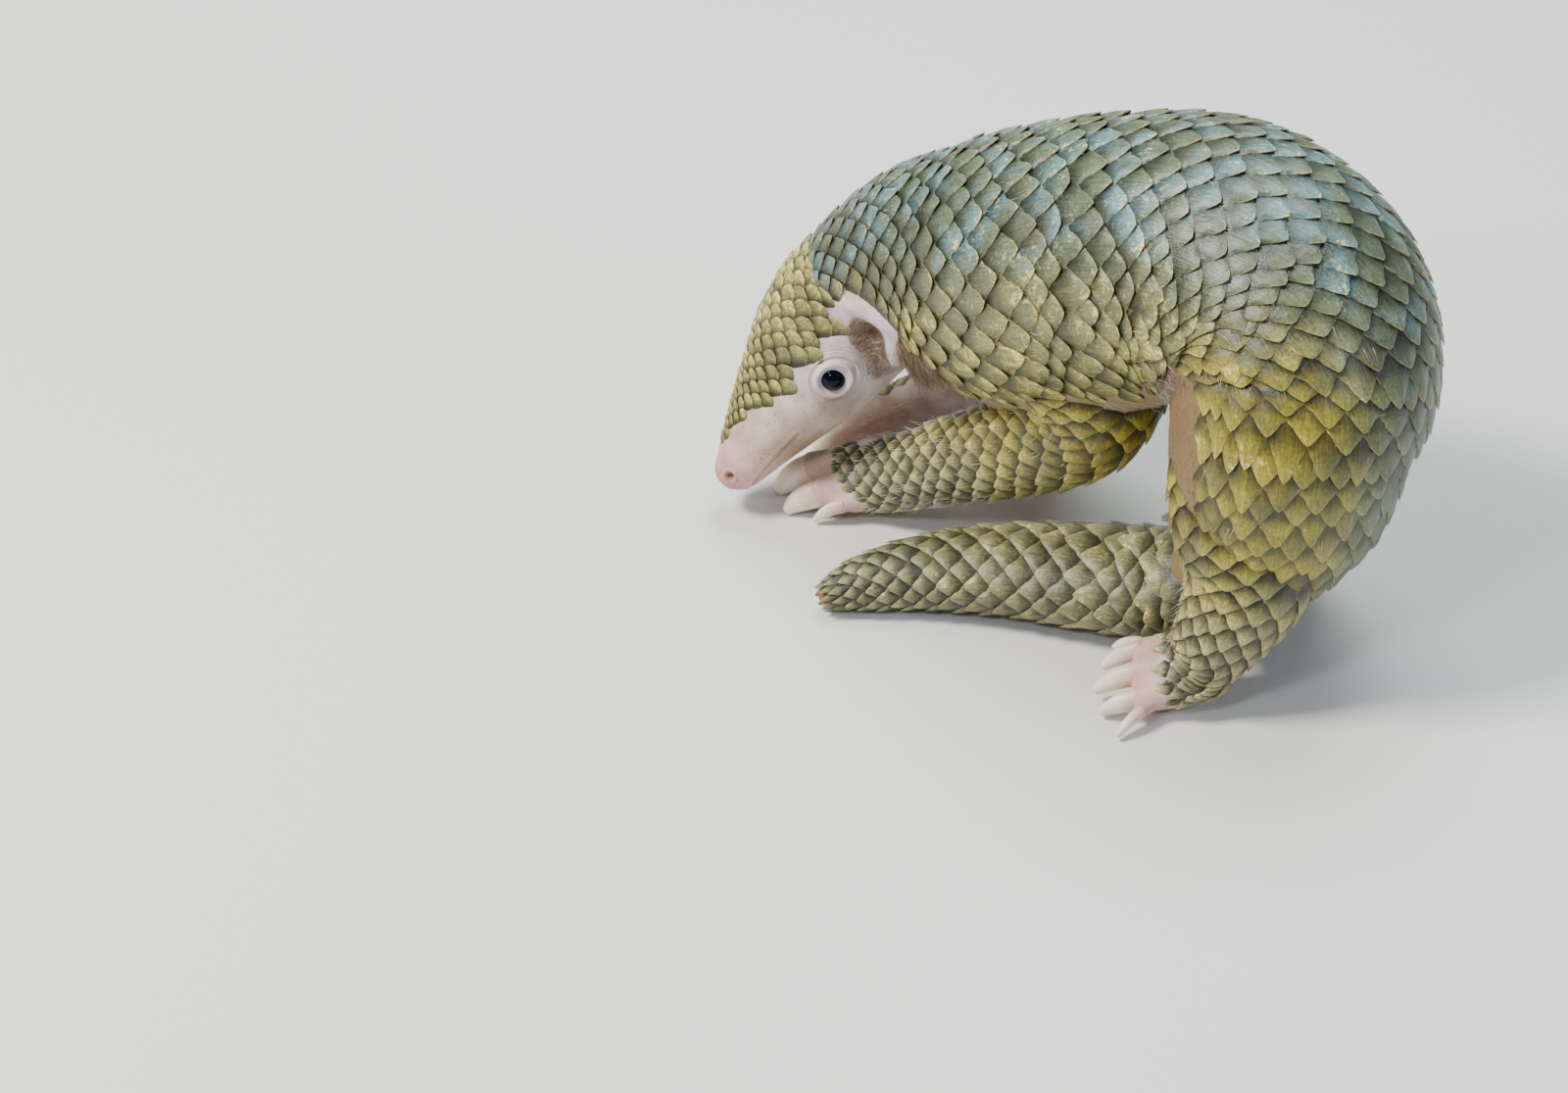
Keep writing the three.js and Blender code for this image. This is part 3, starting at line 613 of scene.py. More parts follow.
def evaluated_mesh(thing):
    """The mesh of an object with its modifiers applied; the object is removed."""
    graph = bpy.context.evaluated_depsgraph_get()
    mesh = bpy.data.meshes.new_from_object(thing.evaluated_get(graph))
    old = thing.data
    bpy.data.objects.remove(thing)
    bpy.data.meshes.remove(old)
    return mesh


def set_float(mesh, name, values):
    layer = mesh.attributes.new(name, "FLOAT", "POINT")
    layer.data.foreach_set("value", np.ascontiguousarray(values, np.float32).ravel())


def set_points(mesh, points):
    mesh.vertices.foreach_set("co", np.ascontiguousarray(points, np.float32).ravel())
    mesh.update()


def get_points(mesh):
    points = np.empty(len(mesh.vertices) * 3, np.float32)
    mesh.vertices.foreach_get("co", points)
    return points.reshape(-1, 3).astype(float)


def get_normals(mesh):
    normals = np.empty(len(mesh.vertices) * 3, np.float32)
    mesh.vertices.foreach_get("normal", normals)
    return normals.reshape(-1, 3)


def add_tube(bm, spine, span, around, along, height):
    """A closed tube: a grid rolled round the spine, welded at its seam and capped."""
    grid = bmesh.ops.create_grid(bm, x_segments=around, y_segments=along, size=1)["verts"]
    turn, share = (np.array([v.co[:2] for v in grid]).T + 1) / 2
    places = span[0] + (span[1] - span[0]) * share
    angles = turn * 2 * np.pi
    points = spine.skin(places, angles, height(places, angles)) * MM
    for vert, point in zip(grid, points):
        vert.co = point
    bmesh.ops.remove_doubles(bm, verts=grid, dist=1e-7)
    rims = {e for v in grid if v.is_valid for e in v.link_edges if e.is_boundary}
    bmesh.ops.holes_fill(bm, edges=list(rims), sides=around + 1)


def ear_spine(side):
    """The rolled edge of an ear."""
    centres = [head_point(place, degrees, side, height) for place, degrees, height in EAR_TRACK]
    return Spine([
        (*(centre + ORIGIN), -0.4, -side, 0.4, radius, radius, radius)
        for centre, radius in zip(centres, EAR_RADII)
    ])


def claw_spine(root, tip, radius, shares=(1, 1.05, 0.97, 0.78, 0.36)):
    """A hooked cone from the root of a toe to the tip of its claw, with the radius and its
    shares at five stations."""
    start, end = np.array(root, float), np.array(tip, float)
    over = start + (end - start) * 0.6
    over[2] = start[2] + 0.25 * (start[2] - end[2])
    across = (end[1] - start[1], start[0] - end[0], 0)
    rows = []
    for t, share in zip(np.linspace(0, 1, 5), shares):
        point = (1 - t) ** 2 * start + 2 * t * (1 - t) * over + t ** 2 * end
        size = radius * share
        rows.append((*point, *across, size * 1.25, size, size))
    return Spine(rows)


def plain(places, angles):
    """No height over the body."""
    return np.zeros_like(places)


def trunk_reach(places):
    """The angle to which scales cover the trunk, wider on the flank between the legs."""
    flank = smoothstep(places, 1.6, 3) * (1 - smoothstep(places, 6.5, 7.5))
    return np.radians(118 + 19 * flank)


def head_reach(places):
    """The angle to which scales cover the head, narrow on the snout."""
    return np.radians(20 + 48 * smoothstep(places, 2.4, 4.4))


def sunk_under(degrees, depth):
    """A height that sinks the skin below the scales, which reach to this angle."""
    reach = math.radians(degrees)

    def height(places, angles):
        return -depth * (1 - smoothstep(round_angle(angles), reach - 0.1, reach + 0.15))

    return height


def head_sink(places, angles):
    """The same for the head, whose scales start behind the snout."""
    covered = 1 - smoothstep(round_angle(angles) - head_reach(places), -0.1, 0.1)
    return -0.8 * covered * smoothstep(places, 2.2, 2.8)


def track_distance(points, track, side):
    """Distance of points to a line along the head."""
    stops = np.array(track, float)
    fine = np.linspace(0, len(stops) - 1, 60)
    k = np.minimum(fine.astype(int), len(stops) - 2)
    w = (fine - k)[:, None]
    mixed = stops[k] * (1 - w) + stops[k + 1] * w
    line = SPINES["head"].skin(mixed[:, 0], np.radians(mixed[:, 1]) * side, mixed[:, 2])
    return np.minimum.reduce([distance(points, stop) for stop in line])


def face_relief(points):
    """Heights of the lids, folds, mouth, nostrils and ear hollows over the bare face."""
    height = np.zeros(len(points))
    for _, side in SIDES:
        # Round the eye: a swollen lid, a groove and a fold outside it, and fine wrinkles.
        centre = head_point(*EYE_AT, side)
        axis = unit(head_point(*EYE_AT, side, 1.0) - centre)
        forward = unit(head_point(EYE_AT[0] - 0.5, EYE_AT[1], side) - centre)
        forward = unit(forward - (forward @ axis) * axis)
        down = np.cross(axis, forward)
        v = points - centre
        x, y = v @ forward, v @ down
        near = np.abs(v @ axis) < 9
        r = np.sqrt((x / 1.08) ** 2 + (y / 0.96) ** 2)
        lid = 1.8 * gauss(r - 5.9, 1.15) + 0.35 * gauss(r - 8.7, 0.8) - 0.5 * gauss(r - 7.7, 0.5)
        wrinkle = 0.18 * np.sin(r * 5.2) * gauss(r - 9.5, 2.6)
        height += np.where(near, lid + wrinkle, 0)
        # The slit of the mouth with its lip, the nostril with its rim, the hollow of the ear.
        mouth = track_distance(points, MOUTH_TRACK, side)
        height += -0.7 * gauss(mouth, 0.5) + 0.3 * gauss(mouth - 1.5, 0.8)
        hole = head_distance(points, *NOSTRIL_AT, side)
        height += -2.0 * gauss(hole, 1.2) + 0.5 * gauss(hole - 2.3, 0.7)
        height += -3.4 * gauss(head_distance(points, *EAR_HOLLOW_AT, side, 3), 4.5)
    return height


def build_skin():
    """All flesh as one skin: closed tubes fused by a voxel remesh, smoothed, then refined
    and folded on the face."""
    bm = bmesh.new()
    add_tube(bm, SPINES["trunk"], (0, 12), 64, 110, sunk_under(118, 1.1))
    # The tail is scaled all round.
    add_tube(bm, SPINES["tail"], (0, 6), 40, 70, sunk_under(230, 1.0))
    add_tube(bm, SPINES["head"], (0, 8), 56, 70, head_sink)
    for name in LEGS:
        add_tube(bm, SPINES[name], (0, SPINES[name].last), 36, 60, sunk_under(100, 0.5))
    for root, tip, radius in sum(TOES.values(), []):
        toe = claw_spine(root, tip, radius * 1.14, (1, 1.02, 0.93, 0.5, 0.2))
        add_tube(bm, toe, (0, 1.9), 16, 10, plain)
    for _, side in SIDES:
        ear = ear_spine(side)
        add_tube(bm, ear, (0, ear.last), 18, 28, plain)
    bmesh.ops.recalc_face_normals(bm, faces=bm.faces)
    tubes = bpy.data.objects.new("skin_tubes", finished_mesh(bm, "skin_tubes"))
    bpy.context.scene.collection.objects.link(tubes)
    remesh = tubes.modifiers.new("fuse", "REMESH")
    remesh.mode = "VOXEL"
    remesh.voxel_size = sizes().skin_voxel
    remesh.adaptivity = 0
    relax = tubes.modifiers.new("relax", "SMOOTH")
    relax.factor = 0.5
    relax.iterations = 4
    mesh = evaluated_mesh(tubes)
    refine_face(mesh)
    return mesh


def face_zone(points):
    """Distance to the parts of the face that carry folds: eyes, mouth, nostrils, ears."""
    return np.minimum.reduce([
        away for _, side in SIDES for away in (
            head_distance(points, *EYE_AT, side) - 12,
            track_distance(points, MOUTH_TRACK, side) - 4,
            head_distance(points, *NOSTRIL_AT, side) - 7,
            head_distance(points, *EAR_HOLLOW_AT, side) - 11,
        )
    ])


def refine_face(mesh):
    """Halves the cells of the face, those nearest to its folds twice, and folds it."""
    bm = bmesh.new()
    bm.from_mesh(mesh)
    for margin in (4.0, 0.0):
        points = np.array([v.co[:] for v in bm.verts]) / MM
        close = face_zone(points) < margin
        bm.verts.index_update()
        edges = [e for e in bm.edges if close[e.verts[0].index] and close[e.verts[1].index]]
        bmesh.ops.subdivide_edges(bm, edges=edges, cuts=1, use_grid_fill=True, smooth=0.6)
    bmesh.ops.triangulate(bm, faces=[f for f in bm.faces if len(f.verts) > 4])
    bm.to_mesh(mesh)
    bm.free()
    points = get_points(mesh) / MM
    points += get_normals(mesh) * face_relief(points)[:, None]
    points[:, 2] = np.maximum(points[:, 2], 0)
    set_points(mesh, points * MM)


# Where short rust fuzz tints the skin: body, place, degrees from its back line, share, and
# reach in millimetres.
FUZZ = [
    ("head", 7.0, 104, 0.6, 6),
    ("head", 6.4, 114, 0.45, 8),
    ("head", 6.5, 88, 0.6, 5),
    ("head", 5.4, 106, 0.3, 7),
    ("trunk", 1.8, 108, 0.75, 9),
    ("trunk", 2.4, 112, 0.5, 8),
    ("trunk", 8.9, 140, 0.3, 14),
    ("trunk", 9.6, 150, 0.4, 14),
    ("tail", 6.0, 90, 0.5, 8),
]


def skin_marks(mesh):
    """Where the skin is dusky, rosy, lilac, tinted by rust fuzz, darkened by painted shadow
    or shows its pores.
    """
    points = get_points(mesh) / MM
    throat = distance(points, SPINES["trunk"].skin(1.2, math.radians(120)))
    chest = distance(points, SPINES["foreleg_right"].section(3.2)[0])
    face = distance(points, SPINES["head"].section(3.5)[0])
    belly = smoothstep(-get_normals(mesh)[:, 2], -0.2, 0.6)
    # Each mark is the strongest of its spots.
    rosy = [0.9 * gauss(head_distance(points, 0, 0, 1), 16)]
    lilac = [0.95 * gauss(throat, 34), 0.95 * gauss(chest, 40)]
    bare = [gauss(face, 52), gauss(throat, 30), gauss(chest, 50)]
    fuzz_and_shade, tan = [], []
    pores = gauss(head_distance(points, 4, 90, 1), 38)
    for _, side in SIDES:
        eye = head_distance(points, *EYE_AT, side)
        off_lids = 1 - gauss(eye, 6.5)
        pores = pores * (1 - gauss(eye, 9))
        lilac.append(1.2 * gauss(eye, 7.5))
        # The ear is bare and rosy; rust fuzz and painted shadow lie beside its fold.
        ear = track_distance(points, EAR_TRACK, side)
        hollow = head_distance(points, *EAR_HOLLOW_AT, side, 3)
        beside_ear = smoothstep(ear, 3.7, 5.2)
        bare.append(1 - smoothstep(ear, 4.5, 8))
        rosy += [0.6 * gauss(hollow, 13), 0.45 * gauss(ear, 5)]
        # Painted shadow in the nostril, along the slit of the mouth and in the ear's hollow,
        # where rust fuzz lies too.
        fuzz_and_shade += [
            0.95 * gauss(head_distance(points, *NOSTRIL_AT, side, -1.0), 1.9),
            0.35 * gauss(track_distance(points, MOUTH_TRACK, side), 0.7),
            gauss(hollow, 8) * beside_ear,
        ]
        for body, place, degrees, share, reach in FUZZ:
            spot = SPINES[body].skin(place, math.radians(degrees) * side, 1.0)
            fuzz_and_shade.append(share * gauss(distance(points, spot), reach) * beside_ear * off_lids)
        cheek = head_distance(points, 6.5, 98, side)
        chin = head_distance(points, 3.6, 140, side)
        under_eye = head_distance(points, 5.0, 107, side)
        tanned = 0.75 * gauss(cheek, 10) + 0.7 * gauss(chin, 12) + 0.5 * gauss(under_eye, 7)
        tan.append(tanned * off_lids)
    for paw, toes in TOES.items():
        for root, tip, _ in toes:
            toe = distance(points, np.array(root) * 0.6 + np.array(tip) * 0.4 - ORIGIN)
            rosy.append((0.4 if paw == "fore_right" else 0.85) * gauss(toe, 8))
            bare.append(gauss(toe, 20))
    bare = np.maximum.reduce(bare)
    dusk = [(1 - 0.3 * belly) * (1 - smoothstep(bare, 0.15, 0.6)), *tan]
    for name, spots in (
        ("dusk", dusk), ("rosy", rosy), ("lilac", lilac), ("fuzz_and_shade", fuzz_and_shade), ("pores", [pores]),
    ):
        set_float(mesh, name, np.clip(np.maximum.reduce(spots), 0, 1))


FLESH_NODES = [
    "head", "neck", "torso_front", "torso_middle", "rump", "tail_base", "tail_middle", "tail_tip",
    "foreleg_left", "foreleg_right", "hand_left", "hand_right", "hindleg_left", "hindleg_right",
    "foot_left", "foot_right", "ear_left", "ear_right",
]


class PANGOLIN_OT_skin(bpy.types.Operator):
    """Fuses trunk, tail, head, legs, toes and ears into one bare skin."""

    bl_idname = "pangolin.skin"
    bl_label = "Skin"

    def execute(self, context):
        mesh = build_skin()
        skin_marks(mesh)
        mesh.shade_smooth()
        skin = new_object("skin", mesh, hide_material())
        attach(skin, "root")
        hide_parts(*FLESH_NODES)
        return {"FINISHED"}


# Where each body lies on the unwrap that the scales' and hairs' colours are kept on.
UNWRAP = {
    "trunk": (0.02, 0.02, 0.62, 0.46), "head": (0.68, 0.02, 0.98, 0.46),
    "tail": (0.02, 0.52, 0.40, 0.74), "foreleg_left": (0.44, 0.52, 0.70, 0.74),
    "foreleg_right": (0.72, 0.52, 0.98, 0.74), "hindleg_left": (0.02, 0.77, 0.48, 0.98),
    "hindleg_right": (0.52, 0.77, 0.98, 0.98),
}
# The side of one scale's or hair's patch on it.
PATCH = 0.003


def unwrap_place(name, places, angles):
    left, low, right, high = UNWRAP[name]
    turn = np.arctan2(np.sin(angles), np.cos(angles)) / (2 * np.pi) + 0.5
    share = np.asarray(places) / SPINES[name].last
    return np.stack([left + (right - left) * share, low + (high - low) * turn], axis=-1)


def scale_template():
    """A square plate with a fine top and a plain underside, and for each vertex its share
    across and along the plate and whether it is on top."""
    bm = bmesh.new()
    bmesh.ops.create_grid(bm, x_segments=6, y_segments=5, size=1)
    bmesh.ops.solidify(bm, geom=bm.faces[:], thickness=-2.0)
    bmesh.ops.recalc_face_normals(bm, faces=bm.faces)
    bmesh.ops.dissolve_faces(bm, faces=[f for f in bm.faces if f.normal.z < -0.5])
    levels = [v.co.z for v in bm.verts]
    middle = (max(levels) + min(levels)) / 2
    parameters = [((v.co.x + 1) / 2, (v.co.y + 1) / 2, v.co.z > middle) for v in bm.verts]
    uv = bm.loops.layers.uv.new("Scale")
    for face in bm.faces:
        for loop in face.loops:
            loop[uv].uv = ((loop.vert.co.x + 1) / 2, (loop.vert.co.y + 1) / 2)
    for edge in bm.edges:
        flat = [abs(f.normal.z) > 0.5 for f in edge.link_faces]
        edge.smooth = all(flat) or not any(flat)
    mesh = finished_mesh(bm, "scale_plate")
    mesh.shade_smooth()
    return mesh, np.array(parameters, float)


def repeat_mesh(template, count):
    """Many copies of a small mesh as one mesh, one after the other."""
    thing = bpy.data.objects.new("repeat", template)
    bpy.context.scene.collection.objects.link(thing)
    array = thing.modifiers.new("repeat", "ARRAY")
    array.fit_type = "FIXED_COUNT"
    array.count = count
    array.use_relative_offset = False
    array.use_constant_offset = True
    array.constant_offset_displace = (0, 0, 0)
    return evaluated_mesh(thing)


def set_patches(mesh, flat, roots):
    """The OFBake map: each copy is a small patch at its root's place on the unwrap."""
    loops = np.empty(len(mesh.loops), np.int32)
    mesh.loops.foreach_get("vertex_index", loops)
    copy, own = np.divmod(loops, len(flat))
    uv = roots[copy] + (flat[own] - 0.5) * PATCH
    layer = mesh.uv_layers.new(name="OFBake")
    layer.data.foreach_set("uv", np.ascontiguousarray(uv, np.float32).ravel())


# The rows crowd on the inside of a bend and spread on its outside. Below the first share of
# their pitch on the back line every other row is left out, above the second one rows are
# put between.
CROWDED = 0.42
SPREAD = 1.45
# The least distance of a scale from the line of an ear.
EAR_CLEARANCE = 4.4


def ear_distance(points):
    """Distance to the nearer ear, or to the bare hollow in front of it."""
    return np.minimum.reduce([
        away for _, side in SIDES for away in (
            track_distance(points, EAR_TRACK, side),
            head_distance(points, *EAR_HOLLOW_AT, side, 1) - 4.5,
        )
    ])


class Lattice:
    """The staggered places of the scales on one body, with their lengths and sizes. A fine
    of 2 has half rows, so that rows can be put between."""

    def __init__(self, name, rows, angles, keep, size, seed, fine=1):
        self.name = name
        self.spine = SPINES[name]
        self.step = angles[1] - angles[0]
        self.random = np.random.default_rng(seed)
        i, j = np.meshgrid(np.arange(1, len(rows) - 1), np.arange(len(angles)), indexing="ij")
        places, turns = rows[i], angles[j]
        lengths = (rows[i + 1] - rows[i - 1]) / 2
        here, back = (
            self.spine.skin(rows[i + 1], angle) - self.spine.skin(rows[i - 1], angle)
            for angle in (turns, 0 * turns)
        )
        crowd = np.linalg.norm(here, axis=-1) / np.linalg.norm(back, axis=-1)
        # The stretches overlap a little, so that no bare skin shows between them.
        limits = [(4 * fine, 0, CROWDED * 0.56), (2 * fine, CROWDED / 2, CROWDED * 1.12)]
        if fine > 1:
            limits += [(fine, CROWDED, SPREAD * 1.06), (fine // 2, SPREAD, np.inf)]
        else:
            limits += [(fine, CROWDED, np.inf)]
        stretches = []
        for stride, low, high in limits:
            staggered = (i % stride == 0) & ((i // stride + j) % 2 == 0)
            chosen = (crowd >= low) & (crowd < high) & staggered
            stretches.append([a[chosen] for a in (places, turns, lengths * stride)])
        self.places, self.turns, self.lengths = map(np.concatenate, zip(*stretches))
        self.size = size(self.places, self.turns)
        self.choose(keep(self.places, self.turns, self.random))

    def choose(self, kept):
        for field in ("places", "turns", "lengths", "size"):
            setattr(self, field, getattr(self, field)[kept])

    def drop_buried(self, *others):
        """Leaves out the scales by the ears and those inside other bodies."""
        kept = np.ones(len(self.places), bool)
        for share in (-0.6, 0, 0.9):
            places = np.clip(self.places + share * self.lengths, 0, self.spine.last)
            kept &= ear_distance(self.spine.skin(places, self.turns, 0.5)) > EAR_CLEARANCE
        centres = self.spine.skin(self.places, self.turns, 0.5)
        for other in others:
            kept &= ~SPINES[other].buried(centres, 1.0)
        self.choose(kept)


def shield(t):
    """Half width of a scale, in columns, from its root at 0 to its tip at 1."""
    return 0.66 + 0.48 * smoothstep(t, 0.0, 0.4) - 0.46 * smoothstep(t, 0.55, 1.1)


# How far a scale reaches from its place, in rows: to its root under the scales before it,
# and to its tip over those behind it.
ROOT_REACH = 1.15
TIP_REACH = 1.35


def scales_on(lattice, thickness, rise, point, marks):
    """All scales of one lattice as a mesh: every plate follows the body it lies on, is
    widest past its middle, rises towards its free tip and is keeled."""
    template, parameters = scale_template()
    count = len(lattice.places)
    mesh = repeat_mesh(template, count)
    # Columns are the template's vertices: across from -1 to 1, along from 0 to 1.
    a = parameters[:, 0] * 2 - 1
    t = parameters[:, 1]
    top = parameters[:, 2]

    # Each scale is a row, with its own small departures.
    def vary(spread):
        return lattice.random.normal(0, spread, count)[:, None]

    length = 1 + vary(0.035)
    width = 1 + vary(0.03)
    lean = vary(0.05)
    lift = np.abs(vary(0.1))
    blunt = point + vary(0.08)
    run = -ROOT_REACH + (ROOT_REACH + TIP_REACH) * t * length + vary(0.05)
    run = run - blunt * t ** 2.5 * np.abs(a) ** 1.4
    spread = shield(t) * a * width + lean * (t - 0.4)
    scale = lattice.size[:, None]
    places = lattice.places[:, None] + run * lattice.lengths[:, None] * scale ** 0.5
    places = np.clip(places, 0, lattice.spine.last)
    turns = lattice.turns[:, None] + spread * lattice.step * scale ** 0.5
    # Millimetres above the body: the root is sunk, the middle keeled, the tip curled down.
    keel = 0.95 * (1 - a ** 2)
    curl = 0.5 * smoothstep(t, 0.75, 1.0)
    ripple = 0.06 * np.sin(a * 9 + vary(2.0)) * smoothstep(t, 0.1, 0.5)
    height = -1.72 + rise * (run + ROOT_REACH) + keel + lift * t - curl + ripple
    edge = np.maximum(np.abs(a), np.abs(2 * t - 1))
    plate = thickness * (1 - 0.45 * smoothstep(edge, 0.6, 1.0))
    points = lattice.spine.skin(places, turns, height * scale - plate * (1 - top))
    points[..., 2] = np.maximum(points[..., 2], 0.06)
    set_points(mesh, points.reshape(-1, 3) * MM)
    roots = unwrap_place(lattice.name, lattice.places, lattice.turns)
    set_patches(mesh, parameters[:, :2], roots)
    set_float(mesh, "tone", np.repeat(lattice.random.uniform(0, 1, count), len(a)))
    for key, values in marks(places, turns, points).items():
        set_float(mesh, key, np.clip(values, 0, 1))
    return mesh


def even_angles(count, degrees):
    return np.radians(degrees) * np.linspace(-1, 1, count)


# Marks of the scales, 0 to 1: dried mud, cool for a painted blue-grey sky reflection, pale horn
# and ochre stain.
def trunk_marks(places, turns, points):
    """Painted blue-grey sky reflection above, ochre with dried mud on the lower flank,
    rump and shoulder.
    """
    side = round_angle(turns)
    low = smoothstep(side, 0.9, 1.9)
    rear = smoothstep(places, 6.5, 9)
    shoulder = (1 - smoothstep(places, 1.0, 3.0)) * smoothstep(side, 0.6, 1.3)
    mud = 0.17 + 0.1 * low - 0.06 * rear
    ochre = 0.12 + 0.5 * low + 0.95 * rear * smoothstep(side, 0.3, 1.1) + 0.4 * shoulder
    cool = 0.72 * (1 - smoothstep(side, 0.7, 1.5)) * (1 - 0.5 * rear)
    pale = 0.06 + 0.2 * low * (1 - rear)
    return {"mud": mud, "cool": cool, "pale": pale, "ochre": ochre}


def head_marks(places, turns, points):
    """Pale and muddy in front, with a little of the painted blue-grey sky reflection towards
    the neck.
    """
    front = 1 - smoothstep(places, 3.5, 6.8)
    return {
        "mud": 0.3 + 0.1 * front, "cool": 0.35 * smoothstep(places, 5, 7),
        "pale": 0.6 + 0.1 * front, "ochre": 0.65 + 0.25 * front,
    }


def limb_marks(places, turns, points):
    """Ochre above and paler towards the paw."""
    low = 1 - smoothstep(points[..., 2], 20, 80)
    # cool: a painted blue-grey reflection, more of it towards the paw.
    return {
        "mud": 0.16 + 0 * low, "cool": 0.25 * low,
        "pale": 0.35 + 0.5 * low, "ochre": 1.0 - 0.7 * low,
    }


def tail_marks(places, turns, points):
    """One colour all over."""
    marks = {"mud": 0.18, "cool": 0.2, "pale": 0.3, "ochre": 0.3}
    return {key: np.full_like(places, value) for key, value in marks.items()}


def add_scales(lattice, thickness, rise, point, marks, material):
    mesh = scales_on(lattice, thickness, rise, point, marks)
    piece = new_object(f"scales_{lattice.name}", mesh, material)
    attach(piece, "root")


# Which places of a lattice carry a scale, to a ragged edge, and how large it is.
def on_trunk(places, turns, random):
    ragged = trunk_reach(places) + random.normal(0, 0.03, len(places))
    return (places > 0.55) & (places < 11.4) & (round_angle(turns) < ragged)


def on_tail(places, turns, random):
    return places > 0.3


def on_head(places, turns, random):
    ragged = head_reach(places) + random.normal(0, 0.05, len(places))
    return (places > 2.1) & (round_angle(turns) < ragged)


def on_leg(name, places, turns, random):
    """The outer side of a leg, down to the wrist or ankle; less of it on the right legs,
    whose inner side shows."""
    wrist = 6.3 if name.startswith("fore") else 5.2
    side, limit = (1, 0.35) if name.endswith("left") else (-1, -0.12)
    ragged = np.radians(118) + random.normal(0, 0.06, len(places))
    inward = SPINES[name].normal(places, turns)[..., 1] * side
    outer = inward + random.normal(0, 0.08, len(places)) < limit
    return (places > 0.3) & (places < wrist) & (round_angle(turns) < ragged) & outer


def trunk_size(places, turns):
    """Smaller towards the neck and along the lower edge."""
    lowest = smoothstep(round_angle(turns), 1.75, 2.1)
    return (0.66 + 0.34 * smoothstep(places, 0.5, 3)) * (1 - 0.18 * lowest)


def tail_size(places, turns):
    return 1 - 0.4 * smoothstep(places, 1, 6)


def head_size(places, turns):
    return 0.55 + 0.25 * smoothstep(places, 2, 7)


def leg_size(places, turns):
    return 0.85 - 0.3 * smoothstep(places, 2.5, 6)


class PANGOLIN_OT_scales(bpy.types.Operator):
    """Lays the overlapping horn scales over back, head, tail and legs."""

    bl_idname = "pangolin.scales"
    bl_label = "Scales"

    def execute(self, context):
        material = horn_material()
        pitch = sizes().row_pitch / MM
        thick = sizes().scale_thickness / MM
        seed = sizes().seed

        # Half rows, so that rows can be put between where they spread, closer on the neck;
        # 35 columns, 8 degrees apart.
        rows = SPINES["trunk"].rows(
            lambda place: 0.5 * pitch * (0.69 + 0.31 * min(place / 4, 1)),
        )
        angles = even_angles(35, 138.125)
        lattice = Lattice("trunk", rows, angles, on_trunk, trunk_size, seed, fine=2)
        lattice.drop_buried("head", *LEGS)
        add_scales(lattice, thick, 1.0, 0.72, trunk_marks, material)

        # Rows that close up towards the tip, 16 columns all round, and a last row over the tip.
        tail = SPINES["tail"]
        rows = tail.rows(lambda place: pitch * (0.92 - 0.36 * place / tail.last))
        rows = np.append(rows, tail.last)
        angles = np.linspace(-np.pi, np.pi, 17)[:-1]
        lattice = Lattice("tail", rows, angles, on_tail, tail_size, seed + 1)
        lattice.drop_buried("trunk", "hindleg_left", "hindleg_right")
        add_scales(lattice, thick * 0.9, 0.9, 0.8, tail_marks, material)

        # Small scales from the brow to the nape, 2.5 to 3.6 mm apart.
        rows = SPINES["head"].rows(lambda place: 2.5 + 1.1 * smoothstep(place, 2, 7))
        lattice = Lattice("head", rows, even_angles(19, 84), on_head, head_size, seed + 2)
        lattice.drop_buried("trunk")
        add_scales(lattice, thick, 1.0, 0.4, head_marks, material)

        # Rows closer towards the paw.
        for k, name in enumerate(LEGS):
            fore = name.startswith("fore")
            first, last = (5.2, 3.2) if fore else (6.0, 3.4)
            rows = SPINES[name].rows(lambda place: first + (last - first) * min(place / 5, 1))
            angles = even_angles(15, 121.3)
            lattice = Lattice(name, rows, angles, partial(on_leg, name), leg_size, seed + 3 + k)
            lattice.drop_buried("trunk", *([] if fore else ["tail"]))
            # Towards the paw the scales lie flatter.
            rise = 1.05 - (0.5 if fore else 0.2) * smoothstep(lattice.places, 2.5, 5.5)
            add_scales(lattice, thick, rise[:, None], 0.9, limb_marks, material)
        return {"FINISHED"}


# The stretch of a claw's spine that is horn; before it lies the toe.
CLAW_SPAN = (1.2, 4)


class PANGOLIN_OT_claws(bpy.types.Operator):
    """Makes the horn claws of each paw."""

    bl_idname = "pangolin.claws"
    bl_label = "Claws"

    def execute(self, context):
        material = claw_material()
        for paw, toes in TOES.items():
            bm = bmesh.new()
            spines = [claw_spine(*toe) for toe in toes]
            for spine in spines:
                add_tube(bm, spine, CLAW_SPAN, 16, 16, plain)
            bmesh.ops.recalc_face_normals(bm, faces=bm.faces)
            mesh = finished_mesh(bm, f"claws_{paw}")
            points = get_points(mesh) / MM
            points[:, 2] = np.maximum(points[:, 2], 0.05)
            set_points(mesh, points * MM)
            # How far along its claw a point lies: the share of the nearest of 15 sections.
            shares = np.linspace(0, 1, 15)
            places = np.linspace(*CLAW_SPAN, 15)
            centres = np.concatenate([spine.section(places)[0] for spine in spines])
            nearest = np.argmin([distance(points, centre) for centre in centres], axis=0)
            set_float(mesh, "reach", np.tile(shares, len(spines))[nearest])
            mesh.shade_smooth()
            claws = new_object(f"claws_{paw}", mesh, material)
            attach(claws, "root")
            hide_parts(*(f"claw_{paw}_{i + 1}" for i in range(len(toes))))
        return {"FINISHED"}


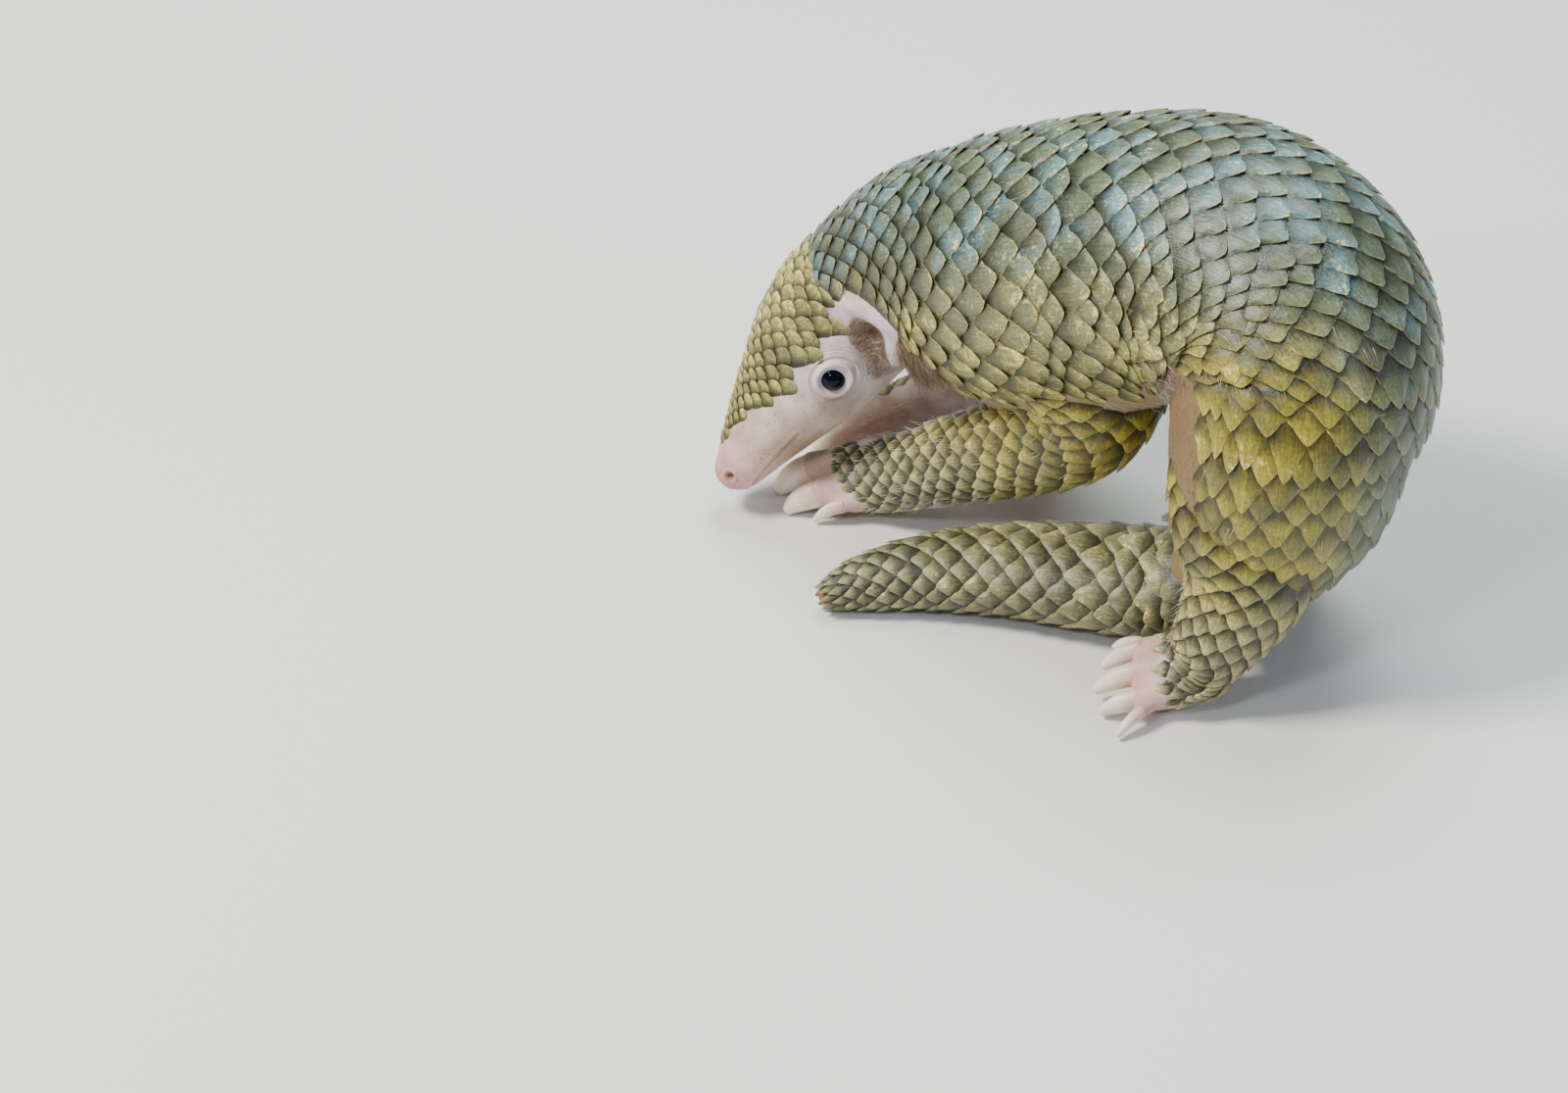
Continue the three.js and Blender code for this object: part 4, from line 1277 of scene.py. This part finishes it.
class PANGOLIN_OT_eyes(bpy.types.Operator):
    """Sets the two dark eyes between their lids."""

    bl_idname = "pangolin.eyes"
    bl_label = "Eyes"

    def execute(self, context):
        material = eye_material()
        for name, side in SIDES:
            bm = bmesh.new()
            bmesh.ops.create_uvsphere(bm, u_segments=32, v_segments=20, radius=sizes().eye_radius)
            centre = Vector(head_point(*EYE_AT, side, EYE_HEIGHT) * MM)
            bmesh.ops.translate(bm, verts=bm.verts, vec=centre)
            mesh = finished_mesh(bm, f"eyeball_{name}")
            mesh.shade_smooth()
            eye = new_object(f"eyeball_{name}", mesh, material)
            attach(eye, "root")
            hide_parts(f"eye_{name}")
        return {"FINISHED"}


def hair_template():
    """A three-sided tapered hair; its parameters are the turn and the share of its length."""
    bm = bmesh.new()
    bmesh.ops.create_cone(bm, cap_ends=True, segments=3, radius1=1, radius2=0.25, depth=2)
    rises = [e for e in bm.edges if abs(e.verts[0].co.z - e.verts[1].co.z) > 1]
    bmesh.ops.subdivide_edges(bm, edges=rises, cuts=1)
    parameters = [(v.co.x, v.co.y, (v.co.z + 1) / 2) for v in bm.verts]
    mesh = finished_mesh(bm, "hair_strand")
    mesh.shade_smooth()
    return mesh, np.array(parameters, float)


# Hair on one stretch of a body: count, places, degrees from the back line to either side,
# length, how far it stands off, its shares of rust and dark, height of its roots.
HairField = namedtuple(
    "HairField", "body count places degrees length stand rust dark height",
    defaults=(0.0, 0.0, 0.0),
)
HAIR_FIELDS = [
    HairField("trunk", 260, (2.0, 10.5), (0, 116), (3, 6), 0.2, height=0.6),
    HairField("trunk", 600, (1.6, 7.6), (114, 150), (5, 10), 0.3, rust=0.3),
    HairField("trunk", 240, (1.0, 2.6), (96, 165), (3, 6), 0.3),
    HairField("head", 420, (2.0, 7.0), (95, 160), (1.6, 3.6), 0.25),
    HairField("head", 160, (4.5, 7.2), (92, 116), (2.5, 4.5), 0.25),
    HairField("head", 240, (1.0, 4.2), (135, 180), (1.5, 3.2), 0.3, dark=0.7),
    HairField("trunk", 2200, (7.6, 10.4), (120, 178), (2, 4.5), 0.3, rust=0.85),
    HairField("hindleg_left", 500, (0.6, 3.4), (95, 180), (2, 4.5), 0.35, rust=0.25),
    HairField("foreleg_left", 800, (2.0, 6.6), (75, 180), (2.5, 5.5), 0.45),
    HairField("foreleg_right", 260, (2.4, 6.6), (80, 180), (2.5, 5.5), 0.35),
    HairField("foreleg_left", 260, (2.0, 6.4), (0, 90), (2.5, 5), 0.4, height=0.5),
    HairField("hindleg_left", 220, (2.4, 5.6), (90, 180), (3, 6), 0.35),
    HairField("hindleg_right", 220, (2.4, 5.6), (90, 180), (3, 6), 0.35),
    HairField("hindleg_left", 260, (4.0, 5.0), (20, 100), (3, 6), 0.3, dark=0.9),
]


# Dense tufts: body, place, degrees, height, radius, count, length, share of rust, sag.
TUFTS = [
    ("head", 7.0, 84, 3, 8.5, 1050, (2.0, 4.0), 1.0, 0.0),
    ("head", 7.0, 104, 4, 7, 420, (2.0, 4.5), 0.9, 0.0),
    ("head", 7.6, 108, 6, 7, 700, (4.0, 8.0), 0.8, 0.3),
    ("head", 6.4, 112, 1, 8, 420, (2.0, 4.5), 0.8, 0.2),
    ("head", 6.4, 90, 1, 4.5, 160, (1.2, 2.6), 0.6, 0.2),
    ("trunk", 1.7, 108, 0, 7, 900, (7.0, 13.0), 1.0, 1.6),
    ("trunk", 2.3, 111, 0, 7, 520, (4.0, 9.0), 0.9, 1.2),
]


def field_hairs(field, random):
    """Roots, directions, directions of the tips, lengths, rust, dark and places on the
    unwrap of one field's hairs, but for those inside other bodies."""
    spine = SPINES[field.body]
    places = random.uniform(*field.places, field.count)
    turns = np.radians(random.uniform(*field.degrees, field.count))
    turns = turns * random.choice([-1, 1], field.count)
    roots = spine.skin(places, turns, field.height - 0.6)
    open_air = np.ones(field.count, bool)
    for other in SPINES:
        if other != field.body:
            open_air &= ~SPINES[other].buried(roots, 0.0)
    normals = spine.normal(places, turns)
    lies = unit(spine.section(places)[1] + random.normal(0, 0.22, (field.count, 3)))
    stands = field.stand * random.uniform(0.5, 1.6, (field.count, 1))
    hairs = (
        roots, unit(lies + normals * stands), unit(lies - normals * 0.05),
        random.uniform(*field.length, field.count), np.full(field.count, field.rust),
        np.full(field.count, field.dark), unwrap_place(field.body, places, turns),
    )
    return [values[open_air] for values in hairs]


def tuft_hairs(tuft, side, ground, normals, random):
    """The same for a tuft, whose roots are picked from the skin's points near its middle,
    clear of the ear's fold."""
    body, place, degrees, height, radius, count, length, share, sag = tuft
    turn = math.radians(degrees) * side
    near = distance(ground, SPINES[body].skin(place, turn, height)) < radius
    clear = track_distance(ground, EAR_TRACK, side) > 4.2
    picked = random.choice(np.flatnonzero(near & clear), count)
    down = np.array([0.0, 0.0, -sag])
    lies = unit(SPINES[body].section(place)[1] + down + random.normal(0, 0.4, (count, 3)))
    patch = unwrap_place(body, place, turn)
    return (
        ground[picked] - 0.2 * normals[picked], unit(lies + normals[picked] * 0.9), lies,
        random.uniform(*length, count), share * random.uniform(0.6, 1, count),
        random.uniform(0, 0.4, count), patch + random.uniform(-0.004, 0.004, (count, 2)),
    )


class PANGOLIN_OT_hair(bpy.types.Operator):
    """Scatters the thin hair between the scales and over the bare skin."""

    bl_idname = "pangolin.hair"
    bl_label = "Hair"

    def execute(self, context):
        random = np.random.default_rng(sizes().seed + 20)
        hairs = [field_hairs(field, random) for field in HAIR_FIELDS]
        skin = bpy.data.objects["skin"].data
        ground, normals = get_points(skin) / MM, get_normals(skin)
        hairs += [
            tuft_hairs(tuft, side, ground, normals, random) for tuft in TUFTS for _, side in SIDES
        ]
        roots, leans, lies, lengths, rust, dark, patches = map(np.concatenate, zip(*hairs))

        # Each hair is a copy of the template, bent from its lean towards its lie.
        template, parameters = hair_template()
        mesh = repeat_mesh(template, len(roots))
        share = parameters[:, 2]
        reach = share[None, :, None] * lengths[:, None, None]
        bend = 0.6 * share[None, :, None] ** 2
        line = roots[:, None] + reach * unit(leans[:, None] * (1 - bend) + lies[:, None] * bend)
        across = unit(np.cross(leans, np.array([0.3, 0.2, 1.0])))
        other = np.cross(leans, across)
        ring = across[:, None] * parameters[:, 0:1] + other[:, None] * parameters[:, 1:2]
        points = line + ring * sizes().hair_radius / MM
        points[..., 2] = np.maximum(points[..., 2], 0.05)
        set_points(mesh, points.reshape(-1, 3) * MM)
        flat = np.stack([parameters[:, 0] * 0.5 + 0.5, share], axis=-1)
        set_patches(mesh, flat, patches)
        set_float(mesh, "rust", np.repeat(rust, len(share)))
        set_float(mesh, "dark", np.repeat(dark, len(share)))
        hair = new_object("hair", mesh, hair_material())
        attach(hair, "root")
        return {"FINISHED"}


# Lamps: place in metres, size in metres, watts, colour.
LAMPS = {
    "key": ((-0.9, -0.2, 1.4), 0.4, 40.0, "fffcf4"),
    "eye": ((-0.7, -0.9, 1.1), 0.22, 6.5, "e6f0ff"),
    "fill": ((1.4, -1.0, 1.3), 0.4, 10.0, "dbe7ff"),
    "top": ((0.2, 0.6, 1.5), 0.8, 28.0, "e4f6f6"),
}
LAMPS_AIM = (0.0, 0.0, 0.06)
SKY_COLOUR = "dfe6ee"
SKY_STRENGTH = 0.27
# The camera looks down at the photo's angle, from 1.47 m, at a point counted as the stations.
CAMERA_AIM = (-118.8, 32.0, 41.0)
CAMERA_TILT = math.radians(38)
CAMERA_DISTANCE = 1.46667


def aimed(place, target):
    """The turn of a lamp or camera at a place that looks at the target."""
    return (target - place).to_track_quat("-Z", "Y").to_euler()


class PANGOLIN_OT_stage(bpy.types.Operator):
    """Adds the pale floor, the soft lights and the camera."""

    bl_idname = "pangolin.stage"
    bl_label = "Stage"

    def execute(self, context):
        bm = bmesh.new()
        bmesh.ops.create_grid(bm, x_segments=1, y_segments=1, size=4)
        floor = new_object("floor", finished_mesh(bm, "floor"), floor_material())

        world = bpy.data.worlds.new("studio")
        world.use_nodes = True
        background = world.node_tree.nodes["Background"]
        background.inputs["Color"].default_value = linear(SKY_COLOUR)
        background.inputs["Strength"].default_value = SKY_STRENGTH
        context.scene.world = world

        for name, (at, size, power, colour) in LAMPS.items():
            light = bpy.data.lights.new(name, "AREA")
            light.size = size
            light.energy = power
            light.color = linear(colour)[:3]
            lamp = bpy.data.objects.new(name, light)
            lamp.location = at
            lamp.rotation_euler = aimed(lamp.location, Vector(LAMPS_AIM))
            context.scene.collection.objects.link(lamp)

        lens = bpy.data.cameras.new("camera")
        lens.sensor_width = 36
        lens.lens = 100
        lens.clip_start = 0.01
        camera = bpy.data.objects.new("camera", lens)
        aim = Vector((np.array(CAMERA_AIM) - ORIGIN) * MM)
        away = Vector((0, -math.cos(CAMERA_TILT), math.sin(CAMERA_TILT)))
        camera.location = aim + away * CAMERA_DISTANCE
        camera.rotation_euler = aimed(away, Vector())
        context.scene.collection.objects.link(camera)
        context.scene.camera = camera
        return {"FINISHED"}


OPERATORS = (
    PANGOLIN_OT_skin, PANGOLIN_OT_scales, PANGOLIN_OT_claws, PANGOLIN_OT_eyes,
    PANGOLIN_OT_hair, PANGOLIN_OT_stage,
)


class PANGOLIN_PT_panel(bpy.types.Panel):
    """Lists the pieces of the figure, their sizes and their colours."""

    bl_idname = "PANGOLIN_PT_panel"
    bl_label = "Pangolin"
    bl_space_type = "VIEW_3D"
    bl_region_type = "UI"
    bl_category = "Pangolin"

    def draw(self, context):
        for operator in OPERATORS:
            self.layout.operator(operator.bl_idname)
        for group in (context.scene.pangolin_sizes, context.scene.pangolin_colours):
            for key in group.__annotations__:
                self.layout.prop(group, key)


CLASSES = (PangolinSizes, PangolinColours, *OPERATORS, PANGOLIN_PT_panel)


def register():
    for cls in CLASSES:
        bpy.utils.register_class(cls)
    bpy.types.Scene.pangolin_sizes = PointerProperty(type=PangolinSizes)
    bpy.types.Scene.pangolin_colours = PointerProperty(type=PangolinColours)


def unregister():
    del bpy.types.Scene.pangolin_colours
    del bpy.types.Scene.pangolin_sizes
    for cls in reversed(CLASSES):
        bpy.utils.unregister_class(cls)


def main():
    register()
    bpy.ops.pangolin.skin()
    bpy.ops.pangolin.scales()
    bpy.ops.pangolin.claws()
    bpy.ops.pangolin.eyes()
    bpy.ops.pangolin.hair()
    bpy.ops.pangolin.stage()


if __name__ == "__main__":
    main()
